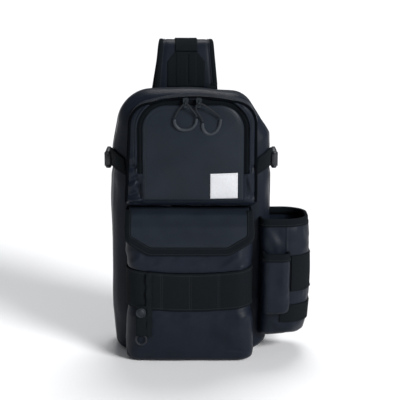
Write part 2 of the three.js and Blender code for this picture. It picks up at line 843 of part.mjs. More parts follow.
function addSideStrap(name, side) {
  const half = sideStrap / 2;
  const crease = frontHalf + gap;
  const reach = block(
    [side > 0 ? crease : -far, -far, sideStrapLevel - half],
    [side > 0 ? far : -crease, seamY - gap, sideStrapLevel + half],
  );
  const strap = common(layer(bodyVolume, -onZip - webbing, -onZip), reach);
  place(`side_strap_${name}`, cut(strap, frontVolume(-gap)), woven);
  const near = bucklePlace - buckleLength / 2;
  const seat = onZip + webbing + gap;
  const outside = halfWidth + seat + buckleThickness - waistTuck;
  const corners = [
    { x: near, y: -buckleHeight / 2 },
    { x: near + buckleLength, y: -buckleHeight / 2 },
    { x: near + buckleLength, y: buckleHeight / 2 },
    { x: near, y: buckleHeight / 2 },
  ].map((corner) => ({ ...corner, radius: buckleRound, steps: 2 }));
  const sideways = (outline, inner, outer) => lofted([inner, outer].map(
    (x) => outline.map(([y, z]) => [side * x, y, sideStrapLevel + z]),
  ));
  const plate = sideways(roundedOutline(corners), halfWidth - 2 * waistTuck, outside);
  const slots = [near + buckleBar, near + buckleLength - buckleBar - buckleSlot].map((y) => {
    const tall = buckleHeight / 2 - buckleBar;
    return sideways([[y, -tall], [y + buckleSlot, -tall], [y + buckleSlot, tall], [y, tall]], 0, far);
  });
  place(`side_buckle_${name}`, cut(plate, ...slots, bodyVolume(-seat)), plastic);
}

// Shoulder strap

function strapCurve() {
  const fold = bodyHeight + strapRise;
  const start = backY + gap + strapThickness / 2;
  const points = strapRoute.map(({ left, behind, up }) => new THREE.Vector3(
    strapPlace - left * halfWidth,
    start + behind * strapSetback,
    up * (fold - strapThickness / 2),
  ));
  return new THREE.CatmullRomCurve3(points);
}

// A flat band along some of the equal steps of a curve; its width runs across, lifted off the curve
function ribbon(curve, { from = 0, steps, of = steps, width, thickness, lift = 0, taper }) {
  const rings = Array.from({ length: steps + 1 }, (_, step) => {
    const share = step / steps;
    const at = (from + step) / of;
    const tangent = curve.getTangentAt(at);
    const across = new THREE.Vector3(1, 0, 0).addScaledVector(tangent, -tangent.x).normalize();
    const out = new THREE.Vector3().crossVectors(tangent, across);
    const middle = curve.getPointAt(at).addScaledVector(out, lift);
    const half = (width * (taper ? along(taper, 'wide', share) : 1)) / 2;
    const edge = thickness / 4;
    const section = [
      [half, edge], [half - edge, thickness / 2], [edge - half, thickness / 2], [-half, edge],
      [-half, -edge], [edge - half, -thickness / 2], [half - edge, -thickness / 2], [half, -edge],
    ];
    return section.map(([w, t]) => middle.clone().addScaledVector(across, w)
      .addScaledVector(out, t).toArray());
  });
  return lofted(rings);
}

function addShoulderStrap() {
  const curve = strapCurve();
  const padded = { width: strapWidth, thickness: strapThickness, steps: strapSteps, taper: strapTaper };
  place('shoulder_strap', ribbon(curve, padded), coated);
  const lift = -strapThickness / 2 - gap - webbing / 2;
  const patch = ribbon(curve, {
    from: patchFrom,
    steps: patchTo - patchFrom,
    of: strapSteps,
    width: patchWidth,
    thickness: webbing,
    lift,
    taper: patchTaper,
  });
  place('strap_patch', cut(patch, padVolume(-gap), bodyVolume(-gap, seamY)), woven);
  const middle = ribbon(curve, {
    from: patchTo,
    steps: strapSteps - patchTo,
    of: strapSteps,
    width: strapWebbing,
    thickness: webbing,
    lift,
  });
  place('strap_webbing', cut(middle, patch.translate([0, 0, gap])), woven);
}

function addStrapEnd() {
  const curve = strapCurve();
  const end = curve.getPointAt(1);
  const heading = curve.getTangentAt(1);
  const ladderStart = end.clone().addScaledVector(heading, 2 * gap);
  const ladderEnd = ladderStart.clone().addScaledVector(heading, ladderLength);
  const ladder = new THREE.LineCurve3(ladderStart, ladderEnd);
  place('strap_buckle', ribbon(ladder, {
    width: ladderWidth, thickness: ladderThickness, steps: 1,
  }), plastic);
  const tailStart = ladderEnd.clone().addScaledVector(heading, 2 * gap);
  const flat = backY + gap + webbing / 2;
  const seat = new THREE.Vector3(-halfWidth + tailMargin + tailWebbing / 2, flat, tailEnd);
  const touch = seat.clone().add(new THREE.Vector3(tailSeat / 3, 0, tailSeat));
  const tail = new THREE.CatmullRomCurve3([
    tailStart,
    tailStart.clone().addScaledVector(heading, ladderLength / 2),
    touch.clone().lerp(tailStart, 0.3),
    touch,
    seat,
  ]);
  const band = ribbon(tail, { width: tailWebbing, thickness: webbing, steps: 16 });
  place('strap_tail', cut(band, bodyVolume(-gap, backY)), woven);
}

addBody();
addMainZip();
addFront();
addSlider('zip_slider_left', -1);
addSlider('zip_slider_right', 1);
addPull('left', pulls.left, -1);
addPull('right', pulls.right, 1);
addLabel();
addLowerPocket();
addLoadWebbing();
addGearTab();
addBottlePocket();
addToolPocket();
addSideStrap('left', -1);
addSideStrap('right', 1);
addShoulderStrap();
addStrapEnd();

export default bag;
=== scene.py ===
"""A sling bag for fishing tackle, dressed in cloth, webbing and plastic round its CAD frame."""
import json
import math

import bpy
import numpy as np
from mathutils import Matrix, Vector


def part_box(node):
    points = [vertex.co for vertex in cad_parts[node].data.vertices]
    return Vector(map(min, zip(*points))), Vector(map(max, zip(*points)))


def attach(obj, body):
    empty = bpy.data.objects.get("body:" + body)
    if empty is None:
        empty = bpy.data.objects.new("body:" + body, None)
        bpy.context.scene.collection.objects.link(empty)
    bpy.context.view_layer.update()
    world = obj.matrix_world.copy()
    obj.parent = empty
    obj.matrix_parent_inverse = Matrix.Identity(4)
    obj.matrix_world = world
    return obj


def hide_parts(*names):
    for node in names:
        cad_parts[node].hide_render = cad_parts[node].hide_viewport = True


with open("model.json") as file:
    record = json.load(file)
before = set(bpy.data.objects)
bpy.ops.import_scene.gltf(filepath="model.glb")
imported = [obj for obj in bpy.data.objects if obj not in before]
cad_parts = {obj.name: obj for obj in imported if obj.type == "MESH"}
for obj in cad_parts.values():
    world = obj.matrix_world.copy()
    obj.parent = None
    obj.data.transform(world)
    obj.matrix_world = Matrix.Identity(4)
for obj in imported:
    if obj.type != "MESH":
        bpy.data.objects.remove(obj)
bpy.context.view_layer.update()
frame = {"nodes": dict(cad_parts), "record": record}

# Every size below is in millimetres in the frame's own axes: X across, -Y the front, +Z up.
# Meshes are made in metres by this factor.
MM = 0.001

# Main compartment
BODY_WIDTH = 217
BODY_HEIGHT = 364
BODY_DEPTH = 80
BACK_PAD = 12
BODY_EDGE = 20
WAIST_TUCK = 4
WALL = 2.4
GAP = 0.3
WEBBING = 1.8
TAPE = 1.2
HALF_WIDTH = BODY_WIDTH / 2
FRONT_Y = -BODY_DEPTH / 2
BACK_Y = BODY_DEPTH / 2
SEAM_Y = BACK_Y - BACK_PAD

# Zip over the top of the main compartment
MAIN_ZIP_WIDTH = 9
MAIN_ZIP_Y = SEAM_Y - 16
MAIN_ZIP_START = 190

# Front compartment
FRONT_HALF = HALF_WIDTH - 21
FRONT_LOW = 211
FRONT_TOP = BODY_HEIGHT - 2.5
FRONT_DEPTH = 35
FRONT_EDGE = 12
FRONT_CROWN = 3
FRONT_FACE_Y = FRONT_Y - FRONT_DEPTH
FACE_WIDTH = 132.5
FACE_PLACE = 3.2
FACE_LEFT = FACE_PLACE - FACE_WIDTH / 2
FACE_RIGHT = FACE_PLACE + FACE_WIDTH / 2
FACE_LOW = FRONT_LOW + 8
FACE_TOP = FRONT_TOP - 15.5
FACE_CORNER = 32
FACE_FOOT = 3
ZIP_WIDTH = 7.5
ZIP_END = FACE_TOP - 90

# Sliders, cord pulls and grips
SLIDER_PLACE = 2.2
SLIDER_SPACING = 17
SLIDER_THICKNESS = 3.6
CORD_DIAMETER = 2.2
GRIP_DIAMETER = 4.4
GRIP_END = 1.6
GRIP_RIM = 0.1

# Lower pocket and flap
POCKET_HALF = HALF_WIDTH - 24
POCKET_PLACE = -2.4
POCKET_HEIGHT = 206
POCKET_DEPTH = 46
POCKET_CORNER = 20
FLAP_LOW = POCKET_HEIGHT - 57
FLAP_SIDE = POCKET_HEIGHT - 36
FLAP_CUT = 36
FLAP_CORNER = 8
FLAP_TAPE = 11
BAND_LOW = 71
BAND_HIGH = 123

# Side pockets
BOTTLE_REACH = 52
BOTTLE_FRONT = 60
BOTTLE_REAR = 29
BOTTLE_LAP = 16
BOTTLE_REAR_LAP = 30
BOTTLE_LOW = 26
BOTTLE_TOP = 190
BOTTLE_SLANT = 3
TOOL_WIDTH = 37.5
TOOL_PLACE = 114
TOOL_DEPTH = 16
TOOL_LOW = 62
TOOL_TOP = 146
TOOL_CORNER = 11
HEM = 10

# Straps
SIDE_STRAP = 25
SIDE_STRAP_LEVEL = 264
STRAP_WIDTH = 86
STRAP_THICKNESS = 8
STRAP_FOLD = BODY_HEIGHT + 59
STRAP_SETBACK = 70
STRAP_PLACE = -7
STRAP_STEPS = 30
STEP_POINTS = 8

# Outline of the body from the front, from its bottom right corner counter-clockwise:
# shares of half the width and of the height, and each corner's radius as a share of half the width
BODY_CORNERS = [
    (0.95, 0, 0.22),
    (1, 0.17, 0.6),
    (0.97, 0.83, 0.05),
    (0.66, 0.98, 0.3),
    (0, 1, 2.5),
    (-0.86, 0.99, 0.66),
    (-1.012, 0.16, 0.5),
    (-0.96, 0, 0.14),
]
# Where the compression straps pull the outline in: the share of half the width, the height
# beside the strap's middle as a share of its width, and the radius
TUCK = [(1, -0.75, 40), (1 - WAIST_TUCK / HALF_WIDTH, 0, 20), (0.993, 0.75, 40)]
# Body from the back seam to the front: the share of its depth, and how far its sides, base and
# top draw in, as shares of its edge
BODY_ROWS = [
    (0, 0.15, 0, 0.5),
    (0.25, 0, 0, 0.22),
    (0.6, 0.02, 0, 0),
    (0.8, 0.12, 0, 0.08),
    (0.92, 0.4, 0.02, 0.35),
    (0.985, 0.72, 0.1, 0.7),
    (1, 1, 0.3, 1),
]
PAD_ROWS = [
    (0, 0.15, 0, 0.5),
    (0.35, 0.1, 0.03, 0.5),
    (0.8, 0.25, 0.2, 0.7),
    (1, 0.6, 0.6, 1.1),
]
# Outline of the front compartment: shares of its half width and height, and the radius
FRONT_CORNERS = [
    (-1, 0, 0.09),
    (1, 0, 0.09),
    (0.99, 0.905, 0.34),
    (0, 1, 4.5),
    (-0.92, 0.885, 0.34),
]
# Shoulder strap along its middle: shares of half the body's width to the left, of its setback
# behind the back pad and of the fold's height
STRAP_ROUTE = [
    (0, 0, 0.708),
    (0, 0, 0.79),
    (0, 0.02, 0.87),
    (0, 0.09, 0.945),
    (0, 0.21, 0.988),
    (0.01, 0.36, 0.995),
    (0.03, 0.52, 0.975),
    (0.06, 0.71, 0.92),
    (0.13, 0.9, 0.82),
    (0.21, 1, 0.7),
    (0.31, 0.98, 0.585),
    (0.41, 0.87, 0.49),
]
STRAP_TAPER = [(0, 1), (0.18, 1), (0.36, 0.86), (0.75, 0.84), (0.92, 0.62), (1, 0.48)]

# Cord pulls: the middle line of each cord and grip, as offsets from its slider's eye
PULLS = {
    "left": {
        "sign": -1,
        "cord": [(-14.5, -19), (-11, -12), (-6, -5), (-1.5, -0.6), (1.5, -0.6), (6, -6), (12, -13),
                 (14, -18)],
        "grip": [(-14.6, -20.6), (-14, -27), (-9, -33.2), (-1.5, -35), (7, -33), (12.6, -27), (14.1, -19.8)],
    },
    "right": {
        "sign": 1,
        "cord": [(5, -24), (1.5, -16.5), (-2.6, -10.5), (-3.9, -5.2), (-2.6, -1.9), (0.8, -0.5),
                 (6.2, -2.3), (13, -7), (20, -12), (27, -18.6)],
        "grip": [(4.6, -25.6), (5.4, -33), (9.5, -39), (15.5, -40.6), (21.5, -37.5), (26.4, -30),
                 (28.2, -20.4)],
    },
}


# Camera, floor and light

VIEW_TARGET = (12.1, -75, 221)
VIEW_DISTANCE = 1500
VIEW_ELEVATION = math.radians(12)
FRAME_PIXELS = 400
FOCAL_PIXELS = 1139.8
SKY_COLOUR = (0.93, 0.96, 1, 1)
SKY_STRENGTH = 0.2
FLOOR_COLOUR = (0.93, 0.93, 0.94, 1)
# The floor reaches this many metres each way, just under the bag's base
FLOOR_HALF = 40
FLOOR_DROP = 0.5
# Each sun's name, the direction it shines from, its strength and its width in degrees
SUNS = [
    ("key_light", (0.8, -0.8, 0.7), 2.9, 18),
    ("low_light", (0.62, -0.9, 0.12), 0.6, 30),
    ("top_light", (0.1, 0.5, 1), 1.6, 26),
]


def camera():
    """The photo's view: the bag's front, seen from a little above."""
    lens = bpy.data.cameras.new("camera")
    lens.sensor_fit = "AUTO"
    lens.angle = 2 * math.atan(FRAME_PIXELS / 2 / FOCAL_PIXELS)
    eye = bpy.data.objects.new("camera", lens)
    bpy.context.scene.collection.objects.link(eye)
    target = Vector(VIEW_TARGET) * MM
    away = Vector((0, -math.cos(VIEW_ELEVATION), math.sin(VIEW_ELEVATION)))
    eye.location = target + away * VIEW_DISTANCE * MM
    eye.rotation_euler = (-away).to_track_quat("-Z", "Y").to_euler()
    bpy.context.scene.camera = eye


def sun(name, toward, strength, softness):
    """A distant soft light that shines from a direction."""
    lamp = bpy.data.lights.new(name, "SUN")
    lamp.energy = strength
    lamp.angle = math.radians(softness)
    light = bpy.data.objects.new(name, lamp)
    bpy.context.scene.collection.objects.link(light)
    light.rotation_euler = Vector(toward).to_track_quat("Z", "Y").to_euler()


def studio():
    """A pale floor under a pale sky, lit by soft suns."""
    world = bpy.data.worlds.new("studio")
    bpy.context.scene.world = world
    world.use_nodes = True
    sky = world.node_tree.nodes["Background"]
    sky.inputs["Color"].default_value = SKY_COLOUR
    sky.inputs["Strength"].default_value = SKY_STRENGTH
    for name, toward, strength, softness in SUNS:
        sun(name, toward, strength, softness)
    floor = bpy.data.meshes.new("floor")
    corners = [(x * FLOOR_HALF, y * FLOOR_HALF, 0) for x, y in ((-1, -1), (1, -1), (1, 1), (-1, 1))]
    floor.from_pydata(corners, [], [(0, 1, 2, 3)])
    ground = bpy.data.objects.new("floor", floor)
    bpy.context.scene.collection.objects.link(ground)
    ground.location.z = -FLOOR_DROP * MM
    pale = bpy.data.materials.new("floor")
    pale.use_nodes = True
    shader = pale.node_tree.nodes["Principled BSDF"]
    shader.inputs["Base Color"].default_value = FLOOR_COLOUR
    shader.inputs["Roughness"].default_value = 1
    shader.inputs["Specular IOR Level"].default_value = 0
    floor.materials.append(pale)
    bpy.context.scene.view_settings.view_transform = "Standard"


# Curves and grids

def unit(vectors):
    """Vectors of length 1."""
    return vectors / np.maximum(np.linalg.norm(vectors, axis=-1, keepdims=True), 1e-9)


def rounded(corners, step=1.5):
    """A closed outline whose corners (x, y, radius) are turned by arcs, or as much as fits."""
    points = []
    for index, (x, y, radius) in enumerate(corners):
        here = np.array((x, y), float)
        back = np.array(corners[index - 1][:2], float) - here
        ahead = np.array(corners[(index + 1) % len(corners)][:2], float) - here
        room = 0.49 * min(np.linalg.norm(back), np.linalg.norm(ahead))
        back, ahead = unit(back), unit(ahead)
        turn = math.acos(np.clip(back @ ahead, -1, 1))
        sweep = math.pi - turn
        if not radius or sweep < 0.01:
            points.append(here)
            continue
        reach = min(radius / math.tan(turn / 2), room)
        arc = reach * math.tan(turn / 2)
        centre = here + unit(back + ahead) * math.hypot(arc, reach)
        first = here + back * reach - centre
        last = here + ahead * reach - centre
        steps = max(2, math.ceil(arc * sweep / step))
        for share in np.linspace(0, 1, steps + 1):
            spread = math.sin((1 - share) * sweep) * first + math.sin(share * sweep) * last
            points.append(centre + spread / math.sin(sweep))
    return np.array(points)


def lengths(points):
    """How far along a line each of its points is."""
    return np.concatenate([[0], np.cumsum(np.linalg.norm(np.diff(points, axis=0), axis=1))])


def even(points, count, closed=False):
    """The same line with points at equal distances."""
    points = np.asarray(points, float)
    if closed:
        points = np.vstack([points, points[:1]])
    run = lengths(points)
    places = np.linspace(0, run[-1], count + closed)[:count]
    return np.stack([np.interp(places, run, points[:, axis]) for axis in range(points.shape[1])], 1)


def smoothed(values, passes, closed=False):
    """Values or points evened out along their first axis, with the ends kept."""
    values = np.array(values, float)
    for _ in range(passes):
        if closed:
            values = (np.roll(values, 1, 0) + 2 * values + np.roll(values, -1, 0)) / 4
        else:
            values[1:-1] = (values[:-2] + 2 * values[1:-1] + values[2:]) / 4
    return values


def spline(points, per_span=12):
    """A centripetal Catmull-Rom curve through the points."""
    points = np.asarray(points, float)
    points = np.vstack([2 * points[0] - points[1], points, 2 * points[-1] - points[-2]])
    made = []
    for index in range(1, len(points) - 2):
        p = points[index - 1:index + 3]
        knots = np.concatenate([[0], np.cumsum(np.sqrt(np.linalg.norm(np.diff(p, axis=0), axis=1)))])
        last = index == len(points) - 3
        t = np.linspace(knots[1], knots[2], per_span + 1)[:None if last else -1, None]

        def mix(a, b, low, high):
            return ((knots[high] - t) * a + (t - knots[low]) * b) / (knots[high] - knots[low])

        first = [mix(p[i], p[i + 1], i, i + 1) for i in range(3)]
        second = [mix(first[i], first[i + 1], i, i + 2) for i in range(2)]
        made.append(mix(second[0], second[1], 1, 2))
    return np.vstack(made)


def read(rows, place, column=1):
    """A value read along a table whose first column is the place."""
    rows = np.array(rows, float)
    return np.interp(place, rows[:, 0], rows[:, column])


def drawn_in(outline, side, low, top):
    """An outline drawn in within its own box at the sides, below and above."""
    least, most = outline.min(0), outline.max(0)
    half = (most[0] - least[0]) / 2
    centre = least[0] + half
    tall = most[1] - least[1]
    x = centre + (outline[:, 0] - centre) * (1 - side / half)
    z = least[1] + low + (outline[:, 1] - least[1]) * (1 - (low + top) / tall)
    return np.stack([x, z], 1)


def standing(outline, y):
    """An outline seen from the front as points at one depth."""
    return np.stack([outline[:, 0], np.full(len(outline), y), outline[:, 1]], 1)


def at_level(plan, level):
    """A plan seen from above as points at one height."""
    return np.column_stack([plan, np.full(len(plan), level)])


def normals_of(grid, inside, around=False):
    """Unit normals of a grid of points, pointing away from a point inside it."""
    if around:
        across = np.roll(grid, -1, 1) - np.roll(grid, 1, 1)
    else:
        across = np.gradient(grid, axis=1)
    facing = unit(np.cross(np.gradient(grid, axis=0), across))
    return facing * np.sign(np.sum(facing * (grid - np.array(inside, float))))


def smooth_steps(values):
    """Values from 0 to 1 with a gentle start and end."""
    values = np.clip(values, 0, 1)
    return values * values * (3 - 2 * values)


def two_paces(split, count, more):
    """Shares from 0 to 1: so many up to a split, and so many from there on."""
    return np.concatenate([np.linspace(0, split, count), np.linspace(split, 1, more)[1:]])


def hump(off, width):
    """A soft ridge that is 1 where off is zero."""
    return np.exp(-((off / width) ** 2))


# Relief on cloth

def folds(points, table):
    """Soft ridges (height above zero) and valleys (below) along lines between two places.
    Each row is (start, end, width, height)."""
    total = np.zeros(points.shape[:-1])
    for start, end, width, height in table:
        start, end = np.array(start, float), np.array(end, float)
        line = end - start
        share = np.clip((points - start) @ line / (line @ line), 0, 1)
        nearest = start + share[..., None] * line
        off = np.linalg.norm(points - nearest, axis=-1)
        total += height * hump(off, width) * (0.35 + 0.65 * np.sin(np.pi * share))
    return total


def ripple(points, size, seed, waves=7):
    """A smooth uneven field between about -1 and 1, whose bumps are about size across."""
    draw = np.random.default_rng(seed)
    total = np.zeros(points.shape[:-1])
    for _ in range(waves):
        direction = unit(draw.normal(size=3))
        pace = 2 * np.pi / (size * draw.uniform(1.2, 3))
        bend = np.sin(points @ unit(draw.normal(size=3)) * pace * 0.6 + draw.uniform(0, 6)) * 1.3
        total += np.sin(points @ direction * pace + bend + draw.uniform(0, 6))
    return total / math.sqrt(waves)


# Meshes

def add_piece(name, points, faces, material, replaces=(), grain=None):
    """A mesh piece from points in millimetres; grain holds each point's place on the cloth."""
    mesh = bpy.data.meshes.new(name)
    mesh.from_pydata((np.asarray(points, float) * MM).tolist(), [], [list(face) for face in faces])
    mesh.validate()
    mesh.polygons.foreach_set("use_smooth", [True] * len(mesh.polygons))
    if grain is not None:
        layer = mesh.uv_layers.new(name="grain")
        corners = np.zeros(len(mesh.loops), np.int32)
        mesh.loops.foreach_get("vertex_index", corners)
        layer.data.foreach_set("uv", (np.asarray(grain, float)[corners] * MM).ravel())
    mesh.materials.append(material)
    piece = bpy.data.objects.new(name, mesh)
    bpy.context.scene.collection.objects.link(piece)
    if replaces:
        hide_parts(*([replaces] if isinstance(replaces, str) else replaces))
    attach(piece, "root")
    return piece


def grid_faces(rows, columns, around):
    """Faces between the points of a grid, which may close on itself along its rows."""
    i = np.arange(rows - 1)[:, None] * columns
    j = np.arange(columns if around else columns - 1)[None, :]
    k = (j + 1) % columns
    return np.stack([i + j, i + k, i + columns + k, i + columns + j], -1).reshape(-1, 4)


def facing_out(grid, faces, inside):
    """The grid's faces, turned so that they look away from a point inside it."""
    flat = grid.reshape(-1, 3)
    a, b, c = flat[faces[:, 0]], flat[faces[:, 1]], flat[faces[:, 2]]
    out = np.sum(np.cross(b - a, c - a) * (a - np.array(inside, float)))
    return faces if out > 0 else faces[:, ::-1]


def grain_of(grid):
    """Distances along the rows and columns of a grid, as places on the cloth."""
    middle_row = grid[len(grid) // 2]
    middle_column = grid[:, grid.shape[1] // 2]
    u = np.broadcast_to(lengths(middle_row)[None, :], grid.shape[:2])
    v = np.broadcast_to(lengths(middle_column)[:, None], grid.shape[:2])
    return np.stack([u, v], -1).reshape(-1, 2)


def closed_faces(grid, start=0):
    """Faces of a form through closed rings, facing out, with a face over each of its two ends."""
    rows, columns = grid.shape[:2]
    faces = grid_faces(rows, columns, True)
    flat = grid.reshape(-1, 3)
    a, b, c = flat[faces[:, 0]], flat[faces[:, 1]], flat[faces[:, 2]]
    middle = grid.mean(1)[faces[:, 0] // columns]
    if np.sum(np.cross(b - a, c - a) * (a - middle)) < 0:
        faces = faces[:, ::-1]
    made = [list(face + start) for face in faces]
    used = {(a, b) for face in faces for a, b in zip(face, np.roll(face, -1))}
    first = list(range(columns))
    for end in (first, [(rows - 1) * columns + i for i in first]):
        cap = end[::-1] if (end[0], end[1]) in used else end
        made.append([i + start for i in cap])
    return made


def closed_form(name, grid, material, replaces=(), grain=None):
    """A form through rings of points, closed at both ends."""
    grain = grain_of(grid) if grain is None else grain
    return add_piece(name, grid.reshape(-1, 3), closed_faces(grid), material, replaces, grain)


def joined_forms(name, grids, material, replaces=()):
    """Several closed forms as one piece."""
    points, faces, grain = [], [], []
    for grid in grids:
        faces += closed_faces(grid, sum(len(part) for part in points))
        points.append(grid.reshape(-1, 3))
        grain.append(grain_of(grid))
    return add_piece(name, np.vstack(points), faces, material, replaces, np.vstack(grain))


def layered(name, outer, inner, inside, material, replaces=(), around=False):
    """A closed sheet between two grids of the same shape."""
    rows, columns = outer.shape[:2]
    count = rows * columns
    out_faces = facing_out(outer, grid_faces(rows, columns, around), inside)
    in_faces = out_faces[:, ::-1] + count
    points = np.vstack([outer.reshape(-1, 3), inner.reshape(-1, 3)])
    index = np.arange(count).reshape(rows, columns)
    edges = list(zip(index[0][:-1], index[0][1:])) + list(zip(index[-1][1:], index[-1][:-1]))
    if around:
        edges += [(index[0][-1], index[0][0]), (index[-1][0], index[-1][-1])]
    else:
        edges += list(zip(index[1:, 0], index[:-1, 0])) + list(zip(index[:-1, -1], index[1:, -1]))
    used = {(a, b) for face in out_faces for a, b in zip(face, np.roll(face, -1))}
    rims = []
    for a, b in edges:
        a, b = (b, a) if (a, b) in used else (a, b)
        rims.append([a, b, b + count, a + count])
    faces = [list(face) for face in (*out_faces, *in_faces)] + rims
    grain = grain_of(outer)
    return add_piece(name, points, faces, material, replaces, np.vstack([grain, grain]))


def sheet(name, points, normals, top, low, inside, material, replaces=()):
    """A closed sheet between two heights over a grid of points: one height for all or for each."""
    top, low = (np.broadcast_to(height, points.shape[:2])[..., None] for height in (top, low))
    return layered(name, points + normals * top, points + normals * low, inside, material, replaces)


class Skin:
    """A grid of points that other pieces are laid on. Its rows have levels and its columns places."""

    def __init__(self, grid, inside, levels, places, around=False):
        self.grid = grid
        self.inside = inside
        self.normals = normals_of(grid, inside, around)
        self.levels = np.asarray(levels, float)
        self.places = np.asarray(places, float)

    def at(self, level, place):
        """Points and normals at levels and places, which are arrays of one shape."""
        order = np.argsort(self.levels)
        row = np.interp(level, self.levels[order], order.astype(float))
        column = np.interp(place, self.places, np.arange(len(self.places)))
        i = np.clip(row.astype(int), 0, self.grid.shape[0] - 2)
        j = np.clip(column.astype(int), 0, self.grid.shape[1] - 2)
        r, c = (row - i)[..., None], (column - j)[..., None]

        def blend(field):
            near = field[i, j] * (1 - c) + field[i, j + 1] * c
            far = field[i + 1, j] * (1 - c) + field[i + 1, j + 1] * c
            return near * (1 - r) + far * r

        return blend(self.grid), unit(blend(self.normals))


# Materials

def new_look(name, specular=0.5, ior=None):
    """A material with its node tree and its shader."""
    material = bpy.data.materials.new(name)
    material.use_nodes = True
    shader = material.node_tree.nodes["Principled BSDF"]
    shader.inputs["Specular IOR Level"].default_value = specular
    if ior:
        shader.inputs["IOR"].default_value = ior
    return material, material.node_tree, shader


def grain_node(tree):
    """Places on the cloth, in metres."""
    source = tree.nodes.new("ShaderNodeUVMap")
    source.uv_map = "grain"
    return source.outputs["UV"]


def object_node(tree):
    """Places in the piece's own space, in metres."""
    return tree.nodes.new("ShaderNodeTexCoord").outputs["Object"]


def noise(tree, vector, size, detail=3, roughness=0.6):
    """Noise whose largest grains are about size across, in millimetres."""
    made = tree.nodes.new("ShaderNodeTexNoise")
    made.inputs["Scale"].default_value = 1 / (size * MM)
    made.inputs["Detail"].default_value = detail
    made.inputs["Roughness"].default_value = roughness
    tree.links.new(vector, made.inputs["Vector"])
    return made.outputs["Fac"]


# The wave node turns by this many radians over one unit at a scale of 1
WAVE_PACE = 20


def ribs(tree, vector, pitch, direction="X", distortion=0):
    """Even ridges across a direction, a pitch apart in millimetres."""
    made = tree.nodes.new("ShaderNodeTexWave")
    made.bands_direction = direction
    made.inputs["Scale"].default_value = 2 * math.pi / (WAVE_PACE * pitch * MM)
    made.inputs["Distortion"].default_value = distortion
    tree.links.new(vector, made.inputs["Vector"])
    return made.outputs["Fac"]


def tinted(tree, shader, value, colour, *stops):
    """Colour that varies with a value: each stop is a value and a factor of the colour."""
    made = tree.nodes.new("ShaderNodeValToRGB")
    elements = made.color_ramp.elements
    elements[0].position = stops[0][0]
    elements[1].position = stops[-1][0]
    for place, _ in stops[1:-1]:
        elements.new(place)
    for element, (_, factor) in zip(elements, stops):
        element.color = (*(min(1, part * factor) for part in colour), 1)
    tree.links.new(value, made.inputs["Fac"])
    tree.links.new(made.outputs["Color"], shader.inputs["Base Color"])


def calculate(tree, operation, *values):
    made = tree.nodes.new("ShaderNodeMath")
    made.operation = operation
    for socket, value in zip(made.inputs, values):
        if isinstance(value, (int, float)):
            socket.default_value = value
        else:
            tree.links.new(value, socket)
    return made.outputs["Value"]


def weighted(tree, *parts, plus=0):
    """The sum of values times their weights."""
    total = plus
    for value, weight in parts:
        total = calculate(tree, "MULTIPLY_ADD", value, weight, total)
    return total


def bump(tree, shader, height, depth, after=None):
    """Relief of the given depth in millimetres."""
    made = tree.nodes.new("ShaderNodeBump")
    made.inputs["Strength"].default_value = 1
    made.inputs["Distance"].default_value = depth * MM
    tree.links.new(height, made.inputs["Height"])
    if after is not None:
        tree.links.new(after, made.inputs["Normal"])
    tree.links.new(made.outputs["Normal"], shader.inputs["Normal"])
    return made.outputs["Normal"]


def spread(tree, shader, value, low, high):
    """Roughness that varies with a value."""
    made = tree.nodes.new("ShaderNodeMapRange")
    made.inputs["To Min"].default_value = low
    made.inputs["To Max"].default_value = high
    tree.links.new(value, made.inputs["Value"])
    tree.links.new(made.outputs["Result"], shader.inputs["Roughness"])


# The film on the cloth and the fibres of webbing reflect less at a glance than solid plastic
FILM_IOR = 1.22
FIBRE_IOR = 1.15


def cloth(name, colour, roughness, weave, depth, variation=0.22):
    """Coated cloth: a fine plain weave under a film, slightly uneven in tone and gloss."""
    material, tree, shader = new_look(name, ior=FILM_IOR)
    flat, solid = grain_node(tree), object_node(tree)
    broad = noise(tree, solid, size=34, detail=4)
    fine = noise(tree, solid, size=1.6, detail=2)
    tone = weighted(tree, (broad, 0.72), (fine, 0.28))
    tinted(tree, shader, tone, colour, (0.3, 1 - variation), (0.5, 1), (0.72, 1 + variation))
    spread(tree, shader, fine, roughness - 0.07, roughness + 0.09)
    threads = calculate(tree, "MAXIMUM", ribs(tree, flat, weave, "X"), ribs(tree, flat, weave, "Y"))
    first = bump(tree, shader, weighted(tree, (threads, 1), (fine, 1.2)), depth)
    bump(tree, shader, noise(tree, solid, size=7), depth * 4, first)
    return material


def woven(name, colour, pitch, depth, roughness=0.82, specular=0.4):
    """Webbing or tape: ribs across it, with finer threads along it."""
    material, tree, shader = new_look(name, specular, FIBRE_IOR)
    flat, solid = grain_node(tree), object_node(tree)
    rib = ribs(tree, flat, pitch)
    thread = ribs(tree, flat, pitch * 0.62, "Y")
    fuzz = noise(tree, solid, size=1.1)
    raised = weighted(tree, (rib, 0.45), plus=0.55)
    tone = calculate(tree, "MULTIPLY", raised, weighted(tree, (fuzz, 0.7), plus=0.3))
    tinted(tree, shader, tone, colour, (0.15, 0.62), (0.45, 1), (0.8, 1.35))
    spread(tree, shader, fuzz, roughness - 0.08, roughness + 0.08)
    bump(tree, shader, weighted(tree, (rib, 1), (thread, 0.4), (fuzz, 0.5)), depth)
    return material


def moulded(name, colour, roughness=0.42, specular=0.3):
    """Moulded plastic with a fine spark-eroded grain and rubbed places."""
    material, tree, shader = new_look(name, specular)
    solid = object_node(tree)
    wear = noise(tree, solid, size=9, detail=4)
    tinted(tree, shader, wear, colour, (0.35, 0.85), (0.55, 1), (0.75, 1.3))
    spread(tree, shader, wear, roughness + 0.08, roughness - 0.08)
    bump(tree, shader, noise(tree, solid, size=0.5, detail=2), 0.04)
    return material


